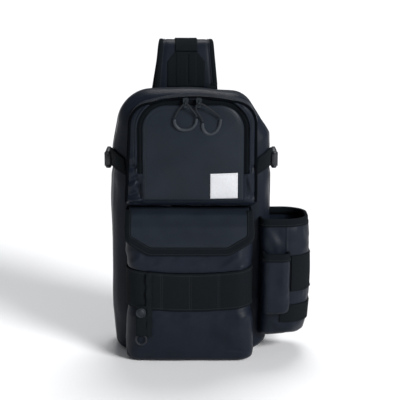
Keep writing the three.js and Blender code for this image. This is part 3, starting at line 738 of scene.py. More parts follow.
def metal(name, colour, roughness):
    """Dark metal with scuffs."""
    material, tree, shader = new_look(name)
    shader.inputs["Metallic"].default_value = 1
    scuff = noise(tree, object_node(tree), size=2.4, detail=5)
    tinted(tree, shader, scuff, colour, (0.3, 0.75), (0.6, 1), (0.8, 1.2))
    spread(tree, shader, scuff, roughness - 0.1, roughness + 0.12)
    bump(tree, shader, scuff, 0.03)
    return material


def braided(name, colour, pitch=1.4):
    """Braided cord: slanted uneven strands."""
    material, tree, shader = new_look(name, 0.3)
    solid = object_node(tree)
    strands = ribs(tree, solid, pitch, "DIAGONAL", 0.8)
    fuzz = noise(tree, solid, size=0.9)
    tone = calculate(tree, "MULTIPLY", strands, fuzz)
    tinted(tree, shader, tone, colour, (0.05, 0.6), (0.3, 1), (0.6, 1.4))
    spread(tree, shader, fuzz, 0.7, 0.9)
    bump(tree, shader, calculate(tree, "ADD", strands, fuzz), 0.18)
    return material


def spacer_mesh(name, colour, cell=2.6):
    """Open air mesh over foam: small cells with dark middles."""
    material, tree, shader = new_look(name, 0.25)
    solid = object_node(tree)
    voronoi = tree.nodes.new("ShaderNodeTexVoronoi")
    voronoi.inputs["Scale"].default_value = 1 / (cell * MM)
    voronoi.inputs["Randomness"].default_value = 0.25
    tree.links.new(solid, voronoi.inputs["Vector"])
    cells = voronoi.outputs["Distance"]
    fuzz = noise(tree, solid, size=0.8)
    tinted(tree, shader, cells, colour, (0.1, 0.35), (0.35, 1), (0.7, 1.5))
    spread(tree, shader, fuzz, 0.82, 0.95)
    bump(tree, shader, weighted(tree, (cells, 1), (fuzz, 0.3)), 0.5)
    return material


NAVY = (0.0072, 0.0102, 0.0172)
SLATE = (0.0118, 0.0162, 0.0235)
BLACK = (0.0068, 0.0088, 0.0106)
COATED = cloth("coated_fabric", NAVY, 0.42, 0.7, 0.035)
SMOOTH = cloth("smooth_fabric", SLATE, 0.4, 0.45, 0.015, variation=0.14)
WEBBED = woven("webbing", BLACK, 1.1, 0.22)
BOUND = woven("binding", (0.0058, 0.0076, 0.0096), 0.9, 0.16)
# Seam tape made near-black: partly the tape's own dark colour, partly painted shade for the shadowed valley
# round the front compartment
SEAM_SHADE = woven("seam_tape_painted_shade", (0.0022, 0.0029, 0.0038), 0.7, 0.1, roughness=0.9, specular=0.12)
ZIPPED = woven("zip_tape", (0.0036, 0.0048, 0.006), 0.7, 0.1)
PADDED = spacer_mesh("padded_mesh", (0.008, 0.0105, 0.0145))
PLASTIC = moulded("buckle_plastic", (0.019, 0.0222, 0.027), specular=0.4)
GRIP = moulded("pull_grip", (0.024, 0.03, 0.039), 0.5)
SLIDER = metal("slider_metal", (0.034, 0.041, 0.048), 0.38)
SNAP = metal("snap_metal", (0.042, 0.047, 0.054), 0.6)
CORD = braided("pull_cord", (0.0095, 0.012, 0.0155))
ELASTIC = woven("elastic", (0.0085, 0.0105, 0.0125), 0.9, 0.2)
LABEL = woven("label_white", (0.6, 0.61, 0.63), 0.6, 0.05, roughness=0.75)
THREAD = braided("thread", (0.02, 0.024, 0.03), 0.5)

# The look of each of the frame's slots, and the slot of each look
LOOKS = {
    "coated_fabric": COATED,
    "smooth_fabric": SMOOTH,
    "padded_mesh": PADDED,
    "webbing": WEBBED,
    "binding": BOUND,
    "zip_tape": ZIPPED,
    "buckle_plastic": PLASTIC,
    "slider_metal": SLIDER,
    "pull_grip": GRIP,
    "snap_metal": SNAP,
    "pull_cord": CORD,
    "label_white": LABEL,
}
SLOTS = {look: slot for slot, look in LOOKS.items()}
SLOTS.update({SEAM_SHADE: "binding", THREAD: "binding", ELASTIC: "webbing"})


# Cord pulls

def pull_lines(side):
    """The middle lines of one pull's cord and grip, as the frame has them."""
    pull = PULLS[side]
    x = SLIDER_PLACE + pull["sign"] * SLIDER_SPACING / 2
    z = FACE_TOP + ZIP_WIDTH / 2
    eye_y = FRONT_FACE_Y - FRONT_CROWN - SLIDER_THICKNESS - CORD_DIAMETER / 2 - GAP
    rest_y = FRONT_FACE_Y - FRONT_CROWN - GRIP_DIAMETER / 2 - GAP
    lowest = min(down for _, down in pull["grip"])

    def laid(line):
        return spline([(x + across, eye_y + (rest_y - eye_y) * min(1, down / lowest), z + down)
                       for across, down in line])

    return laid(pull["cord"]), laid(pull["grip"]), (x, eye_y, z)


def swept(line, section, width_way=(1, 0, 0)):
    """Rings of a section (across, out) carried along a line; its across side keeps to one way."""
    line = np.asarray(line, float)
    ahead = unit(np.gradient(line, axis=0))
    way = np.array(width_way, float)
    across = unit(way - (ahead @ way)[:, None] * ahead)
    out = np.cross(ahead, across)
    section = np.asarray(section, float)
    if section.ndim == 2:
        section = np.broadcast_to(section, (len(line), *section.shape))
    return line[:, None] + section[..., :1] * across[:, None] + section[..., 1:] * out[:, None]


def ring(diameter, sides=12):
    """A round section."""
    turn = np.linspace(0, 2 * np.pi, sides, endpoint=False)
    return np.stack([np.cos(turn), np.sin(turn)], 1) * diameter / 2


def add_pull(side):
    cord_line, grip_line, eye = pull_lines(side)
    cord_line = even(cord_line, 60)
    grid = swept(cord_line, ring(CORD_DIAMETER), width_way=(0, 1, 0))
    cord = closed_form(f"pull_cord_{side}_braid", grid, CORD, f"pull_cord_{side}")
    grip_line = even(grip_line, 90)
    along = lengths(grip_line)
    from_end = np.clip(np.minimum(along, along[-1] - along) / GRIP_END, 0, 1)
    rounding = GRIP_DIAMETER / 2 * np.sqrt(1 - (1 - from_end) ** 2)
    radii = np.maximum(rounding, CORD_DIAMETER / 2 + GRIP_RIM)
    sections = ring(2, 16)[None] * radii[:, None, None]
    grid = swept(grip_line, sections, width_way=(0, 1, 0))
    grip = closed_form(f"pull_grip_{side}_moulded", grid, GRIP, f"pull_grip_{side}")


# Main compartment and back panel

def body_outline(count=420):
    corners = [(across * HALF_WIDTH, up * BODY_HEIGHT, radius * HALF_WIDTH)
               for across, up, radius in BODY_CORNERS]
    right, left = ([(side * share * HALF_WIDTH, SIDE_STRAP_LEVEL + up * SIDE_STRAP, radius)
                    for share, up, radius in TUCK] for side in (1, -1))
    return even(rounded(corners[:2] + right + corners[2:6] + left[::-1] + corners[6:]), count, closed=True)


OUTLINE = body_outline()
OUTLINE_PLACES = lengths(OUTLINE)
BODY_MIDDLE = (0, 0, BODY_HEIGHT / 2)


def place_on_outline(level, side):
    """Where along the body's outline its right (1) or left (-1) side is at a height."""
    off = np.abs(OUTLINE[:, 1] - level) + np.where(OUTLINE[:, 0] * side > HALF_WIDTH * 0.3, 0, 1000)
    return OUTLINE_PLACES[int(np.argmin(off))]


BODY_FOLDS = [
    ((-104, -20, 262), (-99, -34, 205), 9, -1.6),
    ((-108, 0, 250), (-107, -8, 170), 12, 1.4),
    ((-107, 10, 278), (-100, -28, 322), 8, -1.3),
    ((106, -10, 250), (100, -34, 200), 10, -1.5),
    ((105, 5, 278), (98, -28, 330), 9, 1.3),
    ((-104, -30, 60), (-90, -36, 14), 10, -1.8),
    ((100, -30, 40), (86, -38, 10), 9, -1.8),
]


def body_rings(rows, shares, passes, start, end):
    """The body's outline at shares of the way between two depths, drawn in as the rows say."""
    draws = smoothed(np.stack([read(rows, shares, column) for column in (1, 2, 3)], 1), passes) * BODY_EDGE
    return [standing(drawn_in(OUTLINE, *draw), start + (end - start) * share)
            for share, draw in zip(shares, draws)]


def body_grid():
    """The body's gusset from its back seam to the front, with its folds, and the rings' shares."""
    shares = two_paces(0.62, 14, 30)
    grid = np.array(body_rings(BODY_ROWS, shares, 8, SEAM_Y - GAP, FRONT_Y))
    relief = folds(grid, BODY_FOLDS) + 0.7 * ripple(grid, 42, 3)
    calm = np.clip(grid[..., 2:] / 12, 0, 1) * np.clip((SEAM_Y - grid[..., 1:2]) / 8, 0, 1)
    grid = grid + normals_of(grid, BODY_MIDDLE, True) * relief[..., None] * calm
    grid[..., 2] = np.maximum(grid[..., 2], 0)
    return grid, shares


def add_body():
    grid, shares = body_grid()
    middle = np.array((0, FRONT_Y, BODY_HEIGHT / 2))
    front = [middle + (grid[-1] - middle) * share for share in (0.9, 0.6, 0.3, 0.06)]
    closed_form("main_body_cloth", np.concatenate([grid, front]), COATED, "main_body")
    levels = SEAM_Y + (FRONT_Y - SEAM_Y) * shares
    return Skin(grid, BODY_MIDDLE, levels, OUTLINE_PLACES, True)


# Sewn channels across the back pad and a groove down its middle
CHANNEL_LEVELS = (70, 150, 230, 305)
CHANNEL_DEPTH = 3.2
CHANNEL_WIDTH = 4.5
CHANNEL_BOW = 10
GROOVE_DEPTH = 2.6
GROOVE_WIDTH = 5
PIPING = 1.4


def add_back_panel():
    """Padded air mesh with sewn channels across it and a piped edge."""
    rings = body_rings(PAD_ROWS, np.linspace(0, 1, 16), 3, SEAM_Y, BACK_Y)
    middle = np.array((0, BACK_Y, BODY_HEIGHT / 2))
    rear = [middle + (rings[-1] - middle) * share for share in np.linspace(0.97, 0.03, 46)]
    grid = np.array(rings + rear)
    x, z = grid[..., 0], grid[..., 2]
    flat = smooth_steps((grid[..., 1] - BACK_Y + 3) / 3)
    sink = GROOVE_DEPTH * hump(x, GROOVE_WIDTH)
    bow = CHANNEL_BOW * (x / HALF_WIDTH) ** 2
    for level in CHANNEL_LEVELS:
        sink += CHANNEL_DEPTH * hump(z - level + bow, CHANNEL_WIDTH)
    edge = hump(grid[..., 1] - SEAM_Y - 1.5, 1.6)
    grid[..., 1] -= flat * (np.minimum(sink, 3.6) + 0.35 + 0.3 * ripple(grid, 30, 8))
    grid += normals_of(grid, (0, SEAM_Y, BODY_HEIGHT / 2), True) * (edge * PIPING)[..., None]
    grid[..., 2] = np.maximum(grid[..., 2], 0)
    grain = np.stack([x.ravel(), z.ravel()], 1)
    pad = closed_form("back_panel_pad", grid, PADDED, "back_panel", grain)


# Zips

def zip_profile(across, run, width, pitch=1.5, tape_lift=0.55, coil_lift=1.15):
    """Height of a zip over its cloth: flat tape, a coil along its middle and a sewn edge."""
    coil = np.exp(-((across / 1.35) ** 4))
    teeth = 0.5 + 0.5 * np.cos(2 * np.pi * run / pitch + np.sign(across) * np.pi / 2)
    seam = 2 * hump(np.abs(across) - width * 0.3, 0.45)
    edge = smooth_steps((width / 2 - np.abs(across)) / 0.5)
    height = tape_lift + coil * (coil_lift - tape_lift + 0.35 * teeth) - 0.18 * seam
    return height * (0.35 + 0.65 * edge)


def mirrored(*shares):
    """Places across a tape as shares of its width, from those on one side of its middle."""
    return np.unique([-share for share in shares] + list(shares))


# How thick a webbing's very edge is, as a share of its thickness
THIN_EDGE = 0.3


def webbing_height(across):
    """Webbing's thickness at shares of its width from its middle, thin at its very edges."""
    return WEBBING * np.where(np.abs(across) > 0.49, THIN_EDGE, 1)


def add_main_zip(skin):
    start, stop = (place_on_outline(MAIN_ZIP_START, side) for side in (1, -1))
    across = mirrored(0, 0.09, 0.16, 0.25, 0.36, 0.44, 0.5) * MAIN_ZIP_WIDTH
    places, offsets = np.meshgrid(np.arange(start, stop, 0.75), across, indexing="ij")
    points, normals = skin.at(MAIN_ZIP_Y + offsets, places)
    lift = GAP + zip_profile(offsets, places, MAIN_ZIP_WIDTH)
    sheet("main_zip_coil", points, normals, lift, 0.05, BODY_MIDDLE, ZIPPED, "main_zip")


# Front compartment

def front_outline(count=360):
    tall = FRONT_TOP - FRONT_LOW
    corners = [(across * FRONT_HALF, FRONT_LOW + up * tall, radius * FRONT_HALF)
               for across, up, radius in FRONT_CORNERS]
    return even(rounded(corners), count, closed=True)


FRONT_OUTLINE = front_outline()
# The place (x, z) that the face's rings close in on, and a point behind it
RINGS_LEVEL = 285
FRONT_MIDDLE = np.array((FACE_PLACE, RINGS_LEVEL))
FRONT_INSIDE = (FACE_PLACE, FRONT_Y, RINGS_LEVEL)
# The gap round the smooth face, and how far its stitched lines lie from its edge and the zip's
FACE_GAP = 0.2
STITCH_INSET = 3.6


def edge_distance(points, outline):
    """Distance of flat points from a closed outline."""
    starts = outline
    lines = np.roll(outline, -1, 0) - starts
    flat = points.reshape(-1, 2)
    best = np.full(len(flat), 1e9)
    for start, line in zip(starts, lines):
        share = np.clip((flat - start) @ line / (line @ line), 0, 1)
        best = np.minimum(best, np.linalg.norm(flat - start - share[:, None] * line, axis=1))
    return best.reshape(points.shape[:-1])


def face_distance(x, z):
    """Distance from the edge of the smooth face: below zero on it, above zero round it."""
    middle = (FACE_LOW + FACE_TOP) / 2
    radius = np.where(z > middle, FACE_CORNER, FACE_FOOT)
    beside = np.abs(x - FACE_PLACE) - FACE_WIDTH / 2 + radius
    above = np.abs(z - middle) - (FACE_TOP - FACE_LOW) / 2 + radius
    outside = np.hypot(np.maximum(beside, 0), np.maximum(above, 0))
    return np.minimum(np.maximum(beside, above), 0) + outside - radius


FRONT_FOLDS = [
    ((-86, -70, 262), (-68, -76, 266), 3.5, -2.4),
    ((-86, -70, 271), (-70, -76, 280), 5, 1.4),
    ((-85, -72, 234), (-66, -76, 247), 4, 1.9),
    ((-83, -72, 243), (-70, -76, 252), 3, -1.5),
    ((-84, -72, 225), (-70, -76, 231), 3, -1.6),
    ((-84, -72, 219), (-64, -76, 221), 2.4, 1.8),
    ((-72, -74, 254), (-65, -76, 226), 2.6, -1.4),
    ((74, -74, 256), (82, -74, 226), 3, 1.2),
    ((-85, -72, 214), (-66, -76, 216.5), 1.8, -1.6),
    ((86, -70, 262), (78, -76, 265), 4, -1.8),
    ((86, -70, 250), (80, -76, 240), 5, 1.2),
    ((84, -72, 232), (80, -76, 218), 3.5, -1.2),
    ((-70, -72, 342), (-40, -76, 352), 7, 1.0),
    ((50, -72, 352), (78, -76, 335), 7, 1.0),
]

# The bound seam's place inside the edge, and its radius at each height: thicker lower down, where its
# near-black painted shade stands in for a wider shadow beside the compartment
FRONT_SEAM_INSET = 2.2
FRONT_SEAM_SHADE_RADII = [(225, 2.6), (300, 2.4), (345, 2.1), (360, 2)]


def front_surface(x, z, raised=1.0):
    """Y of the front compartment's face at a place, with its rounded edge, crown, seams and puff."""
    inward = edge_distance(np.stack([x, z], -1), FRONT_OUTLINE)
    turn = np.clip(1 - inward / FRONT_EDGE, 0, 1)
    edge = (FRONT_EDGE - 1) * (1 - np.sqrt(np.maximum(1 - turn ** 2, 0)))
    crown = FRONT_CROWN * smooth_steps((inward - 8) / 60)
    beyond = face_distance(x, z)
    on_face = smooth_steps(-beyond / 3.5)
    beside_zip = smooth_steps((z - ZIP_END + 14) / 28)
    puff = on_face * (0.25 + 0.85 * beside_zip) + 3.6 * (1 - np.exp(np.minimum(beyond, 0) / 30))
    along_zip = z > ZIP_END
    welt = along_zip * 1.4 * hump(beyond - ZIP_WIDTH - 1.2, 1.1)
    stitched = along_zip * -0.45 * hump(beyond - ZIP_WIDTH - STITCH_INSET, 0.8)
    hem = -(0.12 + 0.38 * beside_zip) * hump(beyond + STITCH_INSET, 0.8)
    flat = np.stack([x, np.full(np.shape(x), float(FRONT_FACE_Y)), z], -1)
    wrinkles = folds(flat, FRONT_FOLDS) * smooth_steps((beyond + 2) / 3)
    soft = 0.8 * ripple(flat, 60, 21) * on_face + 0.35 * ripple(flat, 22, 5) * (1 - on_face)
    beside_face = smooth_steps(beyond / 3.5) * smooth_steps((ZIP_END - z) / 14)
    recess = 3.2 * beside_face * smooth_steps((z - FACE_LOW) / 8)
    tucked_under = 5 * np.clip(1 - (z - FRONT_LOW) / 24, 0, 1) ** 2
    forms = puff + welt + stitched + hem + 2.1 * wrinkles + soft - recess
    return FRONT_FACE_Y + edge + tucked_under - crown - raised * forms


def face_points(flat, raised=1.0, back=0):
    """Flat places (x, z) as points on the front compartment's face, or some way behind it."""
    x, z = flat[..., 0], flat[..., 1]
    return np.stack([x, front_surface(x, z, raised) + back, z], -1)


def radial(outline, middle, angles):
    """Points of a star-shaped outline in the given directions from its middle."""
    dense = even(outline, 4000, closed=True)
    turn = np.unwrap(np.arctan2(*(dense - middle).T[::-1])) % (2 * np.pi)
    reach = np.linalg.norm(dense - middle, axis=1)
    order = np.argsort(turn)
    distance = np.interp(angles % (2 * np.pi), turn[order], reach[order], period=2 * np.pi)
    return middle + np.stack([np.cos(angles), np.sin(angles)], 1) * distance[:, None]


def face_outline(grow):
    """The smooth face's outline, grown by a distance."""
    low, high = FACE_LOW - grow, FACE_TOP + grow
    left, right = FACE_LEFT - grow, FACE_RIGHT + grow
    corner = FACE_CORNER + grow
    return rounded([
        (left, low, FACE_FOOT),
        (right, low, FACE_FOOT),
        (right, high, corner),
        (left, high, corner),
    ])


def zip_opening():
    """The inner edge of the cloth round the face: it steps out to clear the zip."""
    near, out = FACE_GAP, ZIP_WIDTH - GAP
    return rounded([
        (FACE_LEFT - near, FACE_LOW - near, FACE_FOOT),
        (FACE_RIGHT + near, FACE_LOW - near, FACE_FOOT),
        (FACE_RIGHT + near, ZIP_END, 0),
        (FACE_RIGHT + out, ZIP_END, 0),
        (FACE_RIGHT + out, FACE_TOP + out, FACE_CORNER + out),
        (FACE_LEFT - out, FACE_TOP + out, FACE_CORNER + out),
        (FACE_LEFT - out, ZIP_END, 0),
        (FACE_LEFT - near, ZIP_END, 0),
    ])


def angles_round(outline, extra=()):
    """The directions of an outline's points, and of more places, from the face's middle."""
    angles = np.arctan2(*(outline - FRONT_MIDDLE).T[::-1])
    more = [math.atan2(z - FRONT_MIDDLE[1], x - FRONT_MIDDLE[0]) for x, z in extra]
    return np.sort(np.concatenate([angles, more]))


def add_front_pocket():
    """The front compartment's cloth, open round the zip and the smooth face."""
    steps = [(place, ZIP_END) for out in (FACE_GAP, ZIP_WIDTH - GAP)
             for place in (FACE_LEFT - out, FACE_RIGHT + out)]
    angles = angles_round(FRONT_OUTLINE, steps)
    outer = radial(FRONT_OUTLINE, FRONT_MIDDLE, angles)
    inner = radial(zip_opening(), FRONT_MIDDLE, angles)
    edge_y = FRONT_FACE_Y + FRONT_EDGE - 1
    rows = [standing(outer, y) for y in np.linspace(FRONT_Y + 14, edge_y, 16)[:-1]]
    sides = slice(len(rows))
    shares = np.concatenate([[0, 0.015, 0.04, 0.08, 0.13], np.linspace(0.19, 0.94, 16), [0.97, 1]])
    rows += [face_points(outer + (inner - outer) * share) for share in shares]
    rows.append(rows[-1] + np.array((0, 2.2, 0)))
    grid = np.array(rows)
    relief = folds(grid[sides], FRONT_FOLDS) + 0.5 * ripple(grid[sides], 30, 5)
    calm = smooth_steps((FRONT_Y - grid[sides][..., 1]) / 12)
    grid[sides] += normals_of(grid, FRONT_INSIDE, True)[sides] * (relief * calm)[..., None]
    under = grid - normals_of(grid, FRONT_INSIDE, True) * 1.6
    layered("front_pocket_cloth", grid, under, FRONT_INSIDE, COATED, "front_pocket", around=True)


def add_front_seam_shade():
    """A bound seam along the front compartment's edge, up one side and down the other; it is near-black,
    partly real seam and partly painted shade for the shadowed valley between the compartment and the body.
    """
    first, last = (math.atan2(FRONT_LOW + 5 - FRONT_MIDDLE[1], side * FRONT_HALF - FRONT_MIDDLE[0])
                   for side in (1, -1))
    outer = radial(FRONT_OUTLINE, FRONT_MIDDLE, np.linspace(first, last + 2 * math.pi, 420))
    inward = unit(FRONT_MIDDLE - outer)
    line = smoothed(face_points(outer + inward * FRONT_SEAM_INSET), 3)
    out = unit(np.stack([-0.8 * inward[:, 0], np.full(len(line), -0.6), -0.8 * inward[:, 1]], 1))
    beside = np.cross(unit(np.gradient(line, axis=0)), out)
    radii = np.interp(line[:, 2], *zip(*FRONT_SEAM_SHADE_RADII))[:, None, None]
    circle = ring(2, 10)[..., None]
    grid = line[:, None] + (circle[:, 0] * out[:, None] + circle[:, 1] * beside[:, None]) * radii
    closed_form("front_pocket_seam_shade", grid, SEAM_SHADE)


def add_front_face():
    outline = face_outline(-0.05)
    rim = radial(outline, FRONT_MIDDLE, angles_round(even(outline, 300, closed=True)))
    rows = [face_points(rim, back=drop) for drop in (3.4, 1.6, 0.5)]
    for share in np.concatenate([[0.997, 0.985, 0.97, 0.955, 0.94, 0.92], np.linspace(0.89, 0.02, 40)]):
        rows.append(face_points(FRONT_MIDDLE + (rim - FRONT_MIDDLE) * share))
    grid = np.array(rows)
    whole = np.concatenate([grid[::-1] + np.array((0, 1.8, 0)), grid])
    closed_form("front_face_cloth", whole, SMOOTH, "front_face", grain=whole[..., ::2].reshape(-1, 2))


ARCH_STEP = 0.5


def arch(grow):
    """The zip's line round the face from its right end over the top, with its outward directions."""
    line = face_outline(grow)
    points = even(line, int(lengths(line)[-1] / ARCH_STEP), closed=True)
    ahead = unit(np.roll(points, -1, 0) - np.roll(points, 1, 0))
    outward = np.stack([ahead[:, 1], -ahead[:, 0]], 1)
    kept = points[:, 1] > ZIP_END + GAP
    return points[kept], outward[kept]


def add_front_zip():
    points, outward = arch(ZIP_WIDTH / 2)
    across = mirrored(0.05, 0.12, 0.19, 0.27, 0.36, 0.42, 0.48) * ZIP_WIDTH
    outer = face_points(points[:, None] + outward[:, None] * across[None, :, None], raised=0)
    profile = zip_profile(across[None], lengths(points)[:, None], ZIP_WIDTH, tape_lift=0.35, coil_lift=0.9)
    outer[..., 1] += 0.9 - profile
    under = outer + np.array((0, 1.6, 0))
    layered("front_zip_coil", outer, under, FRONT_INSIDE, ZIPPED, "front_zip")


LABEL_TILT = 0.02


def label_sides():
    """The label's left, right, bottom and top, from the frame."""
    low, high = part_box("label_patch")
    return [value / MM for value in (low.x, high.x, low.z, high.z)]


def add_label():
    left, right, bottom, top = label_sides()
    x, z = np.meshgrid(np.linspace(left, right, 30), np.linspace(bottom, top, 30))
    border = np.minimum(np.minimum(x - left, right - x), np.minimum(z - bottom, top - z))
    lift = GAP + 0.35 + 0.3 * smooth_steps(border / 0.8) - 0.22 * hump(border - 2.2, 0.5)
    ground = face_points(np.stack([x, z + LABEL_TILT * (x - (left + right) / 2)], -1))
    forward = np.broadcast_to((0, -1, 0), ground.shape)
    sheet("label_patch_weave", ground, forward, lift, 0.1, FRONT_INSIDE, LABEL, "label_patch")


# Lower pocket

# Up the pocket and its flap: the share of the height, how far the front stands out as a share of
# the depth, and half the width as a share of its own
POCKET_ROWS = [
    (0, 0.8, 0.965),
    (0.006, 0.88, 0.99),
    (0.022, 0.95, 1.02),
    (0.07, 0.995, 1.03),
    (0.2, 1.03, 1.005),
    (0.3, 1.02, 0.99),
    (0.335, 0.98, 0.975),
    (0.35, 0.945, 0.97),
    (0.6, 0.94, 0.968),
    (0.606, 0.96, 0.97),
    (0.599, 0.99, 0.975),
    (0.603, 1.02, 0.98),
    (0.622, 1.055, 0.985),
    (0.66, 1.065, 0.99),
    (0.71, 1.04, 1),
    (0.8, 1, 1),
    (0.86, 0.92, 0.99),
]
FLAP_ROWS = [
    (0.72, 1.035, 1),
    (0.8, 1, 1),
    (0.9, 0.86, 0.99),
    (0.965, 0.62, 0.98),
    (1, 0.2, 0.97),
    (1.003, 0.02, 0.97),
]
POCKET_INSIDE = (POCKET_PLACE, FRONT_Y, 100)
BAND_RISE = 7


def pocket_plan(reach, wide, grow=0.0, count=261, corner=POCKET_CORNER):
    """The pocket's outline from above, from its left end round the front to its right end."""
    half = wide * POCKET_HALF + grow
    front = FRONT_Y - reach * POCKET_DEPTH - grow
    inside = FRONT_Y + 3
    radius = corner + grow
    corners = [
        (POCKET_PLACE - half, inside, 0),
        (POCKET_PLACE - half, front, radius),
        (POCKET_PLACE + half, front, radius),
        (POCKET_PLACE + half, inside, 0),
    ]
    return even(rounded(corners), count)


def rise_at(places, levels):
    """The band and the puff above it sit higher toward the sides."""
    near = smooth_steps((levels - 40) / 40) * smooth_steps((165 - levels) / 30)
    return BAND_RISE * np.clip(np.abs(places) / POCKET_HALF, 0, 1) ** 2 * near


def finer(rows, count, passes):
    """A table read at many even steps along its own run, and evened out."""
    rows = np.array(rows, float)
    scaled = rows * np.array((POCKET_HEIGHT, POCKET_DEPTH, POCKET_HALF))
    run = lengths(scaled)
    steps = np.linspace(0, run[-1], count)
    fine = np.stack([np.interp(steps, run, rows[:, axis]) for axis in range(3)], 1)
    return smoothed(fine, passes)


POCKET_FOLDS = [
    ((-88, -84, 128), (-66, -90, 150), 6, 1.6),
    ((-86, -84, 140), (-72, -90, 148), 4, -1.2),
    ((-70, -88, 126), (-40, -90, 134), 5, 1.3),
    ((36, -90, 126), (62, -90, 146), 5, 1.8),
    ((50, -90, 128), (78, -86, 140), 4, -1.6),
    ((60, -88, 130), (74, -88, 134), 3, 2.0),
    ((-20, -90, 130), (30, -90, 138), 8, 0.9),
    ((-82, -86, 18.5), (-64, -86, 18), 1.3, -1.5),
    ((45, -86, 18), (79, -86, 14), 1.5, -1.3),
    ((-80, -86, 24), (-60, -88, 40), 6, 1.1),
    ((60, -88, 22), (40, -88, 52), 9, 1.1),
    ((76, -84, 60), (64, -88, 24), 7, -1.2),
    ((-30, -88, 66), (-34, -88, 30), 14, 0.8),
    ((20, -88, 66), (26, -88, 20), 12, -0.7),
    ((82, -80, 66), (60, -88, 58), 5, 1.2),
]


def pocket_grid():
    fine = finer(POCKET_ROWS, 130, 2)
    plans = [pocket_plan(reach, wide) for _, reach, wide in fine]
    run = lengths(plans[len(plans) // 2])
    grid = np.array([at_level(plan, up * POCKET_HEIGHT) for plan, (up, _, _) in zip(plans, fine)])
    grid[..., 2] += rise_at((run - run[-1] / 2)[None], grid[..., 2])
    return grid


def add_lower_pocket():
    grid = pocket_grid()
    normals = normals_of(grid, POCKET_INSIDE)
    levels = grid[..., 2]
    under_band = smooth_steps((levels - 66) / 4) * smooth_steps((126 - levels) / 4)
    under_flap = smooth_steps((levels - 150) / 8)
    free = np.clip(levels / 6, 0, 1) * (1 - under_band) * (1 - under_flap)
    relief = folds(grid, POCKET_FOLDS) + 0.7 * ripple(grid, 34, 17) + 0.3 * ripple(grid, 13, 4)
    grid = grid + normals * (relief * free)[..., None]
    sheet("lower_pocket_cloth", grid, normals, 0, -0.8 * WALL, POCKET_INSIDE, COATED, "lower_pocket")


def flap_ground():
    """Gives the flap's points and normals at levels and places, and its farthest place."""
    fine = finer(FLAP_ROWS, 60, 3)
    lift = GAP + WALL
    plans = [pocket_plan(reach, wide, lift, corner=FLAP_CORNER) for _, reach, wide in fine]
    places = lengths(plans[0]) - lengths(plans[0])[-1] / 2
    grid = np.array([at_level(plan, up * POCKET_HEIGHT + lift * smooth_steps((up - 0.9) / 0.1))
                     for plan, (up, _, _) in zip(plans, fine)])
    soft = 0.63 * ripple(grid, 55, 31) + 0.21 * ripple(grid, 18, 12)
    crown = 1.6 * np.clip(1 - (places[None] / 80) ** 2, 0, 1) * hump(grid[..., 2] - 178, 16)
    grid = grid + normals_of(grid, POCKET_INSIDE) * (soft + crown)[..., None]
    levels = grid[:, len(places) // 2, 2]
    spans = np.array([lengths(plan)[-1] for plan in plans])
    skin = Skin(grid, POCKET_INSIDE, levels, places)

    def ground(level, place):
        """The places keep to an upright line where the pocket draws back towards its lid."""
        upright = place * np.interp(level, levels, spans[0] / spans)
        return skin.at(level, np.clip(upright, places[0], places[-1]))

    return ground, places[-1]


TAPE_MIDDLE = FLAP_TAPE / 2
TAPE_LAP = 4
SKIRT_DROP = 0.6


def flap_path():
    """The middle of the flap's tape, as places and levels, and the way from it into the flap."""
    wide = POCKET_HALF + 3 - TAPE_MIDDLE
    low = FLAP_LOW + TAPE_MIDDLE
    foot = wide - FLAP_CUT + 6
    line = even(rounded([
        (-wide, POCKET_HEIGHT - 2, 0),
        (-wide, FLAP_SIDE + 2, 9),
        (-foot, low, 12),
        (foot, low, 12),
        (wide, FLAP_SIDE + 2, 9),
        (wide, POCKET_HEIGHT - 2, 0),
    ]), 560)
    ahead = unit(np.gradient(line, axis=0))
    return line, np.stack([-ahead[:, 1], ahead[:, 0]], 1)


def add_flap():
    ground, end = flap_ground()
    line, inward = flap_path()
    edge = line + inward * (TAPE_MIDDLE - TAPE_LAP)
    levels = np.concatenate([np.linspace(edge[:, 1].min(), FLAP_SIDE + 8, 14),
                             np.linspace(FLAP_SIDE + 9, POCKET_HEIGHT + 2, 26)])[:, None]
    left = edge[:len(edge) // 2]
    places = np.interp(-levels, -left[:, 1], -left[:, 0]) * np.linspace(-1, 1, 161)
    points, normals = ground(np.broadcast_to(levels, places.shape), places)
    sheet("flap_cloth", points, normals, 0, -0.7 * WALL, POCKET_INSIDE, SMOOTH, "flap")
    width = mirrored(0.1, 0.22, 0.26, 0.3, 0.44, 0.49, 0.5) * FLAP_TAPE
    spots = line[:, None] + inward[:, None] * width[None, :, None]
    points, normals = ground(spots[..., 1], spots[..., 0])
    off = np.abs(width) / TAPE_MIDDLE
    profile = TAPE * np.where(off > 0.97, 0.25, 1) - 0.22 * hump(off - 0.52, 0.07)
    sheet("flap_binding_tape", points, normals, profile, -0.9, POCKET_INSIDE, BOUND, "flap_binding")
    for name, side in (("left", -1), ("right", 1)):
        levels, places = np.meshgrid(np.linspace(FLAP_SIDE + 5, POCKET_HEIGHT - 1, 20),
                                     side * np.linspace(POCKET_HALF, end, 24), indexing="ij")
        points, normals = ground(levels, places)
        under = -SKIRT_DROP - 0.7 * WALL
        sheet(f"flap_side_{name}", points, normals, -SKIRT_DROP, under, POCKET_INSIDE, SMOOTH)
    return ground


LOOP_SEAMS = (-36.5, 1.6, 39.7)
# Where the band is sewn down round the corners, beside its loops
BAND_SEAMS = (-95, -74, *LOOP_SEAMS, 74, 95)
# The shares of the pocket's depth and half width that the band lies on
BAND_SEAT = (0.945, 0.97)
BAND_SLACK = 0.9


